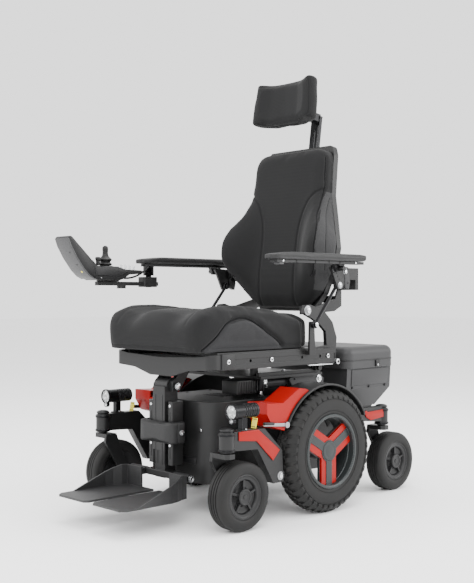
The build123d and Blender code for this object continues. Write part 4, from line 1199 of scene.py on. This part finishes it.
def headrestHinge():
    mid, z = headPad["middle"], headPad["hinge"]
    made = []
    for side in (-1, 1):
        low, high = sorted((side * 17.2, side * 27.6))
        add(made, blackAnodised, box("headrestEar", (low, mid - 34, z - 12), (high, mid, z + 12), 1.5))
        add(made, blackAnodised, pin("headrestEye", (low, high), mid, z, 12.6, 40, 1))
        add(made, brightSteel, pin("headrestBolt", (side * 29.6, side * 34), mid, z, 7, 6, 0.8))
    add(made, blackAnodised, box("headrestPlate", (-40, mid - 40, z - 22), (40, mid - 31, z + 22), 3))
    return leanBack(joined("headrestHinge", made))


carried(headrestHinge(), "headrest")


def headrestPostTrim():
    # a light grey strip down the post's front edge, standing in for a painted highlight there, and the
    # post's end cap
    made = [dress(box("postHighlightStrip", (14.5, 190, 1086), (17.5, 197, 1214), 0.6), greyNylon)]
    add(made, blackNylon, box("postCap", (-20, 191, 1243), (20, 205, 1249), 1.5))
    return leanBack(joined("headrestPostTrim", made))


carried(headrestPostTrim(), "headrest_post")


def backFittings():
    # clamp of the headrest post with its knob, screws of the shell
    made = [dress(box("postClamp", (-34, 206, 1032), (34, 222, 1076), 4), blackAnodised)]
    add(made, turnedSteel, rod("clampKnobStem", (0, 221, 1054), (0, 232, 1054), 6, 24, 1))
    knob = spun("clampKnob", [(0, 0), (0, 15), (2, 17), (11, 16), (14, 13), (15, 0)], (0, 231, 1054),
                10, (0, 1, 0))
    add(made, blackNylon, roundEdges(knob, 1.5, 2))
    for side in (-1, 1):
        for z in (690, 830, 960, 1070):
            add(made, blackAnodised, rod("shellScrew", (side * 118, 155, z),
                                         (side * 118, 158.6, z), 6, 28, 1))
        add(made, brightSteel, rod("shellSlot", (side * 118, 157, 830), (side * 118, 159, 830), 2.6, 6))
    return leanBack(joined("backFittings", made))


carried(backFittings(), "back")
print("headrest")

# ---- calf pad: wraps the front and both sides of the legrest column


def makeCalfPad():
    low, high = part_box("calf_pad")
    front, rear = (low.y - axleY) * 1000, (high.y - axleY) * 1000
    half, base, top = high.x * 1000, low.z * 1000, high.z * 1000
    wall, inside = 19, front + 17.5
    plan = [(-half, rear), (-half, front + 18), (-half + 5, front + 6), (-half + 17, front + 0.5),
            (half - 17, front + 0.5), (half - 5, front + 6), (half, front + 18), (half, rear),
            (half - wall, rear), (half - wall, inside), (-half + wall, inside), (-half + wall, rear)]
    pad = flatPlate("calfPad", [(x * 0.985, y + 1, base + 1) for x, y in plan], (0, 0, top - base - 2))
    evened(pad, 3.5)
    relaxed(pad, 6)
    swollen(pad, 4, 3, lambda x, y, z: abs(x) < half - wall + 3 and y > inside - 3)
    refined(pad)
    dress(pad, armUrethane)
    trims = []
    for side in (-1, 1):
        flank = [(side * 100, y, z) for y, z in ((front + 26, base + 5), (front + 24, base + 32),
                                                 (front + 26, top - 5))]
        sewn(pad, seamOn(pad, flank, (-side, 0, 0)), 3, 2)
        y, z = front + 38, base + 32
        add(trims, turnedSteel, pin("calfWasher", (side * (half - 3), side * (half + 0.6)), y,
                                    z, 8, 36, 0.5))
        add(trims, brightSteel, pin("calfBolt", (side * half, side * (half + 4)), y, z, 5, 6, 0.7))
    for height in (base + 5, top - 5):
        sewn(pad, seamOn(pad, [(x, front - 20, height) for x in (-60, -30, 0, 30, 60)],
                         (0, 1, 0)), 2.5, 1.4)
    upholstered(joined("calfPad", [pad] + trims), "leg", "calf_pad", angle=45)


makeCalfPad()
print("calf pad")

# ---- armrests: moulded pad with a soft top on its rail

armPad = {"x": 288, "half": 26, "front": -246, "rear": 170, "low": 731.3, "high": 751, "split": 731.15}


def armRail(side):
    # the rail under the pad keeps the shape it has in the frame
    rail = placed("armRail" + side.title(), frame["nodes"]["arm_pad_" + side].data.copy())
    faceOut(rail)
    mesh = bmesh.new()
    mesh.from_mesh(rail.data)
    above = [v for v in mesh.verts if v.co.z * 1000 > armPad["split"]]
    bmesh.ops.delete(mesh, geom=above, context="VERTS")
    mesh.to_mesh(rail.data)
    mesh.free()
    dress(rail, blackNylon)
    sign = 1 if side == "left" else -1
    made = [rail]
    outer = sign * (armPad["x"] + 13.6)
    for y, bright in ((-196, True), (-140, False), (-60, False), (0, False), (48, False), (120, True)):
        look = brightSteel if bright else armUrethane
        add(made, look, pin("railScrew", (outer, outer + sign * 1.8), y, 727, 3.2, 20, 0.5))
    add(made, greyNylon, box("railLug", (armPad["x"] * sign - 11, -208, 717),
                             (armPad["x"] * sign + 11, -190, 723.4), 1.5))
    carried(joined(rail.name, made), "armrest_" + side)


def makeArmPad():
    x0, x1 = armPad["x"] - armPad["half"], armPad["x"] + armPad["half"]
    front, rear, low = armPad["front"], armPad["rear"], armPad["low"]
    plan = [(x0 + 1, rear - 14), (x0 + 1, front + 30), (x0 + 5, front + 12), (x0 + 16, front + 2),
            (x1 - 16, front + 2), (x1 - 5, front + 12), (x1 - 1, front + 30), (x1 - 1, rear - 14),
            (x1 - 10, rear - 1), (x0 + 10, rear - 1)]
    pad = flatPlate("armPadLeft", [(x, y, low + 0.2) for x, y in plan], (0, 0, armPad["high"] - low - 0.6))
    evened(pad, 3)

    def tapered(x, y, z):
        # thinner towards the front tip, and cut back under the rear end
        share = 1 - 0.32 * ease((-150 - y) / 96)
        cut = 9 * ease((y - 140) / 40) * (1 - (z - low) / 20)
        return x, y, low + (z - low) * share + cut

    moved(pad, tapered)
    relaxed(pad, 5)
    swollen(pad, 3, 2.5, lambda x, y, z: z < low + 4)
    refined(pad)
    moved(pad, lambda x, y, z: (x, y, max(z, low)))
    dress(pad, armUrethane)
    # mould line round the pad's flank
    for side in (-1, 1):
        line = [(armPad["x"] + side * 40, y, low + 6.5) for y in (-205, -120, -40, 60, 150)]
        sewn(pad, seamOn(pad, line, (-side, 0, 0)), 2, 1.3)
    return pad


for side, pad in bothSides(makeArmPad(), "armrest", 45).items():
    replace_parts(pad, "arm_pad_" + side)
    armRail(side)
print("armrests")


def carrierFittings():
    # bolts of the armrest linkage and the stop block, on both sides
    made = []
    for side in (-1, 1):
        for y, z in ((74, 711), (100, 661), (125, 702)):
            reach = 263 if y == 74 else 258
            add(made, turnedSteel, pin("carrierWasher", (side * 257.6, side * 259.2), y, z, 10, 36, 0.4))
            if y != 74:
                add(made, brightSteel, pin("carrierBolt", (side * reach, side * (reach + 3.4)), y,
                                           z, 6, 6, 0.7))
        low, high = sorted((side * 243, side * 260))
        outline = ((118, 694), (136, 712), (146, 672), (140, 648), (122, 654))
        block = flatPlate("carrierStop", [(low, y, z) for y, z in outline], (high - low, 0, 0), 2)
        add(made, litAbs, block)
        add(made, blackAnodised, pin("stopScrew", (side * 259.6, side * 261.2), 134, 668, 3.4, 20, 0.5))
        for k in range(3):
            y, z = 84 + 6 * k, 697 - 9 * k
            add(made, blackNylon, pin("adjustHole", (side * 257.8, side * 258.8), y, z, 2.4, 18, 0.3))
    return joined("carrierFittings", made)


carried(carrierFittings(), "arm_carriers")
print("armrest linkage")

# ---- legrest: slots, grooves, screws and the footplates' hinge bolts


def legFittings():
    made = []
    for x in (-15, 15):
        add(made, blackNylon, box("legSlot", (x - 2, -393.8, 150), (x + 2, -392.6, 348), 0.4))
    for side in (-1, 1):
        for z in (206, 318):
            add(made, brightSteel, rod("flankScrew", (side * 42, -388.2, z), (side * 42, -385, z),
                                       4.2, 24, 0.8))
        add(made, blackNylon, box("flankGroove", (side * 42 - 2, -387.8, 168),
                                  (side * 42 + 2, -386.4, 300), 0.4))
        add(made, turnedSteel, pin("kneeCap", (side * 48.2, side * 49.6), knee["y"], knee["z"],
                                   11, 36, 0.5))
    return joined("legFittings", made)


carried(legFittings(), "leg")


def footHinge():
    made = []
    for side in (-1, 1):
        add(made, brightSteel, pin("footBolt", (side * 131.8, side * 136), -385, 124, 7, 6, 0.8))
        add(made, turnedSteel, pin("footWasher", (side * 131, side * 132.6), -385, 124, 10.4, 36, 0.4))
    return joined("footHinge", made)


carried(footHinge(), "leg_slide")
print("legrest")

# ---- joystick: tilted display, rim, boot, handle, knob and lead

stick = {"x": -288, "y": -370, "pivot": 700, "half": 34}


def sidePlate(name, profile, x0, x1, edge):
    return flatPlate(name, [(x0, y, z) for y, z in profile], (x1 - x0, 0, 0), edge)


def consoleHousing():
    # a low body under the boot, the toggles' tray behind it and the display's slab standing up in front
    x, half = stick["x"], stick["half"]
    body = [(-448, 716), (-446, 696), (-434, 683), (-420, 677), (-336, 677), (-318, 684), (-300, 695),
            (-256, 698), (-248, 702), (-248, 707), (-256, 709), (-316, 711), (-334, 716.5), (-352, 719.5),
            (-388, 719.5), (-406, 717), (-424, 722), (-440, 738)]
    slab = [(-446, 741), (-514, 805), (-520, 807.5), (-528, 805), (-530, 799), (-521, 778), (-500, 744),
            (-472, 708), (-452, 690), (-434, 681.5), (-428, 690), (-430, 722)]
    made = [dress(sidePlate("consoleBody", body, x - half + 1, x + half - 1, 2.6), blackNylon)]
    add(made, blackNylon, sidePlate("consoleSlab", slab, x - half, x + half, 2.4))
    # the lighter shell on the slab's front, with its screws and one plain yellow mark
    shell = [(-531, 801), (-522, 777), (-501, 742.5), (-473, 706.5), (-453, 688.5), (-435, 680),
             (-436, 684), (-451, 692), (-469, 709), (-497, 746), (-517, 780), (-526, 801)]
    add(made, greyNylon, sidePlate("consoleShell", shell, x - half - 0.8, x + half + 0.8, 1))
    for y, z, radius, look in ((-509.5, 759, 2.2, blackNylon), (-484, 722.5, 1.8, blackNylon),
                               (-466, 702.5, 3.2, yellowNylon)):
        add(made, look, rod("shellDot", (x + 16, y, z), (x + 16, y - 2.4, z - 1.8), radius, 20, 0.3))
    # seam lines on the body's sides
    for side in (-1, 1):
        wall = x + side * (half - 1)
        line = [(-444, 703), (-436, 692), (-424, 689.5), (-340, 689.5), (-322, 695), (-308, 702),
                (-309, 703.6), (-323, 697), (-341, 691.5), (-424, 691.5), (-434, 693.6), (-442, 704)]
        add(made, pipingCloth, sidePlate("consoleSeam", line, wall, wall + side * 0.5, 0))
        add(made, turnedSteel, pin("caseScrew", (wall, wall + side * 0.8), -408, 683.5, 2.2, 16, 0.2))
    add(made, blackNylon, box("consoleFoot", (x - 12, -395, 673.2), (x + 12, -325, 678), 1))
    # the display: a raised frame, the glass and three keys
    low, high = Vector((0, -447, 742)), Vector((0, -514, 805))
    slope = (high - low).normalized()
    out = Vector((0, slope.z, -slope.y))
    for name, inset, lift, look in (("displayFrame", 4, 0.2, greyNylon), ("displayGlass", 7.5, 1.0, glass)):
        a, b = low + slope * inset + out * lift, high - slope * inset + out * lift
        corners = [(x - half + inset, a.y, a.z), (x + half - inset, a.y, a.z),
                   (x + half - inset, b.y, b.z), (x - half + inset, b.y, b.z)]
        add(made, look, flatPlate(name, corners, out * 1.2, 0.5))
    for k in range(3):
        key = low + slope * 1.5 + out * 1.2
        add(made, greyNylon, box("displayKey", (x - 20 + 15 * k, key.y - 2, key.z - 2),
                                 (x - 10 + 15 * k, key.y + 2, key.z + 2), 1))
    # speed knob, horn button and two side keys round the boot
    knob = spun("speedKnob", [(0, 0), (0, 6), (6, 6.4), (14, 6), (16, 8), (22, 8.6), (25, 7), (26, 0)],
                (x + 20, -412, 722), 24, (0, 0, 1))
    add(made, blackNylon, knob)
    add(made, greyNylon, rod("hornButton", (x - 20, -412, 716), (x - 20, -412, 724), 5.4, 32, 1))
    for side in (-1, 1):
        add(made, greyNylon, rod("sideKey", (x + side * 23, -340, 713),
                                 (x + side * 23, -340, 719.6), 4.4, 28, 1))
    add(made, blackNylon, spun("bootCollar", [(0, 14), (0, 25), (1.2, 25.4), (2.6, 24), (3.4, 20),
                                              (3.4, 14)], (x, stick["y"], 718.4), 48, (0, 0, 1)))
    return joined("consoleHousing", made)


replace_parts(carried(consoleHousing(), "console", 35), "joystick_box")


def stickBoot():
    x, y = stick["x"], stick["y"]
    folds = [(22.4, 12), (22.6, 17), (24.6, 20.2), (26.8, 21), (28.6, 20), (31, 16.4), (33.4, 15.4),
             (36, 17), (39.4, 20), (41.4, 20.6), (43, 19.4), (46, 15.4), (50, 12), (54.4, 9.6),
             (57, 8.9), (57, 8)]
    boot = spun("stickBoot", folds, (x, y, stick["pivot"]), 48, (0, 0, 1))
    dress(boot, siliconeRubber)
    grip = spun("stickGrip", [(52, 8.3), (52, 9.4), (57, 9), (62, 8.5), (68, 8.7), (73, 9.2), (78, 8.8),
                              (81.4, 6.6), (83.4, 3), (84, 0), (80, 0)], (x, y, stick["pivot"]),
                              40, (0, 0, 1))
    dress(grip, siliconeRubber)
    return joined("stickGrip", [boot, grip])


carried(stickBoot(), "stick", 50)


def makeLead():
    # the lead leaves the case and goes up under the armrest
    points = [(-268, -313.8, 684), (-268, -258, 682), (-268, -216, 722.6)]
    data = curveData("joystickLead", "NURBS", 3, 4, [at(*point) for point in points])
    data.resolution_u = 24
    data.splines[0].order_u = 3
    data.splines[0].use_endpoint_u = True
    lead = placed("joystickLead", data)
    data.materials.append(siliconeRubber)
    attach(lead, "console")
    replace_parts(lead, "joystick_lead")


makeLead()
print("joystick")


# ---- camera, floor and light

cameraSet = {"place": (2147.4, -2150.4, 633.5), "turn": (90.17, 0, 46.09), "lens": 59.86}


def makeStudio():
    camera = placed("camera", bpy.data.cameras.new("camera"))
    camera.location = at(*cameraSet["place"])
    camera.rotation_euler = [math.radians(a) for a in cameraSet["turn"]]
    camera.data.lens = cameraSet["lens"]
    camera.data.sensor_width = 36
    camera.data.clip_end = 50
    bpy.context.scene.camera = camera
    clearSelection()
    bpy.ops.mesh.primitive_plane_add(size=40, location=(0, 0, -0.0005))
    floor = settle("studioFloor")
    paper, shader, place = newMaterial("whitePaper")
    wire(paper, shader, {
        "Base Color": mixed(paper, noise(paper, place, 1.5, 2.0), linear("#fbfbfb"), linear("#f8f8f8")),
        "Roughness": 0.9,
        "Specular IOR Level": 0.1})
    dress(floor, paper)
    world = bpy.data.worlds.new("studio")
    world.use_nodes = True
    wire(world, world.node_tree.nodes["Background"], {"Color": (1, 1, 1, 1), "Strength": 1.9})
    bpy.context.scene.world = world
    panels = {
        "keyLight": ((2600, -2600, 2900), (0, 0, 500), 2.2, 130),
        "frontLight": ((-1400, -3000, 1900), (0, -100, 600), 1.8, 70),
        "topLight": ((0, 300, 3600), (0, 0, 600), 2.5, 120),
        "backLight": ((2600, 2200, 1700), (0, 200, 600), 1.6, 90),
    }
    for name, (place, aim, size, watts) in panels.items():
        data = bpy.data.lights.new(name, "AREA")
        data.shape = "SQUARE"
        data.size = size
        data.energy = watts
        light = placed(name, data)
        light.location = at(*place)
        light.rotation_euler = (at(*aim) - at(*place)).to_track_quat("-Z", "Y").to_euler()


makeStudio()
print("studio")
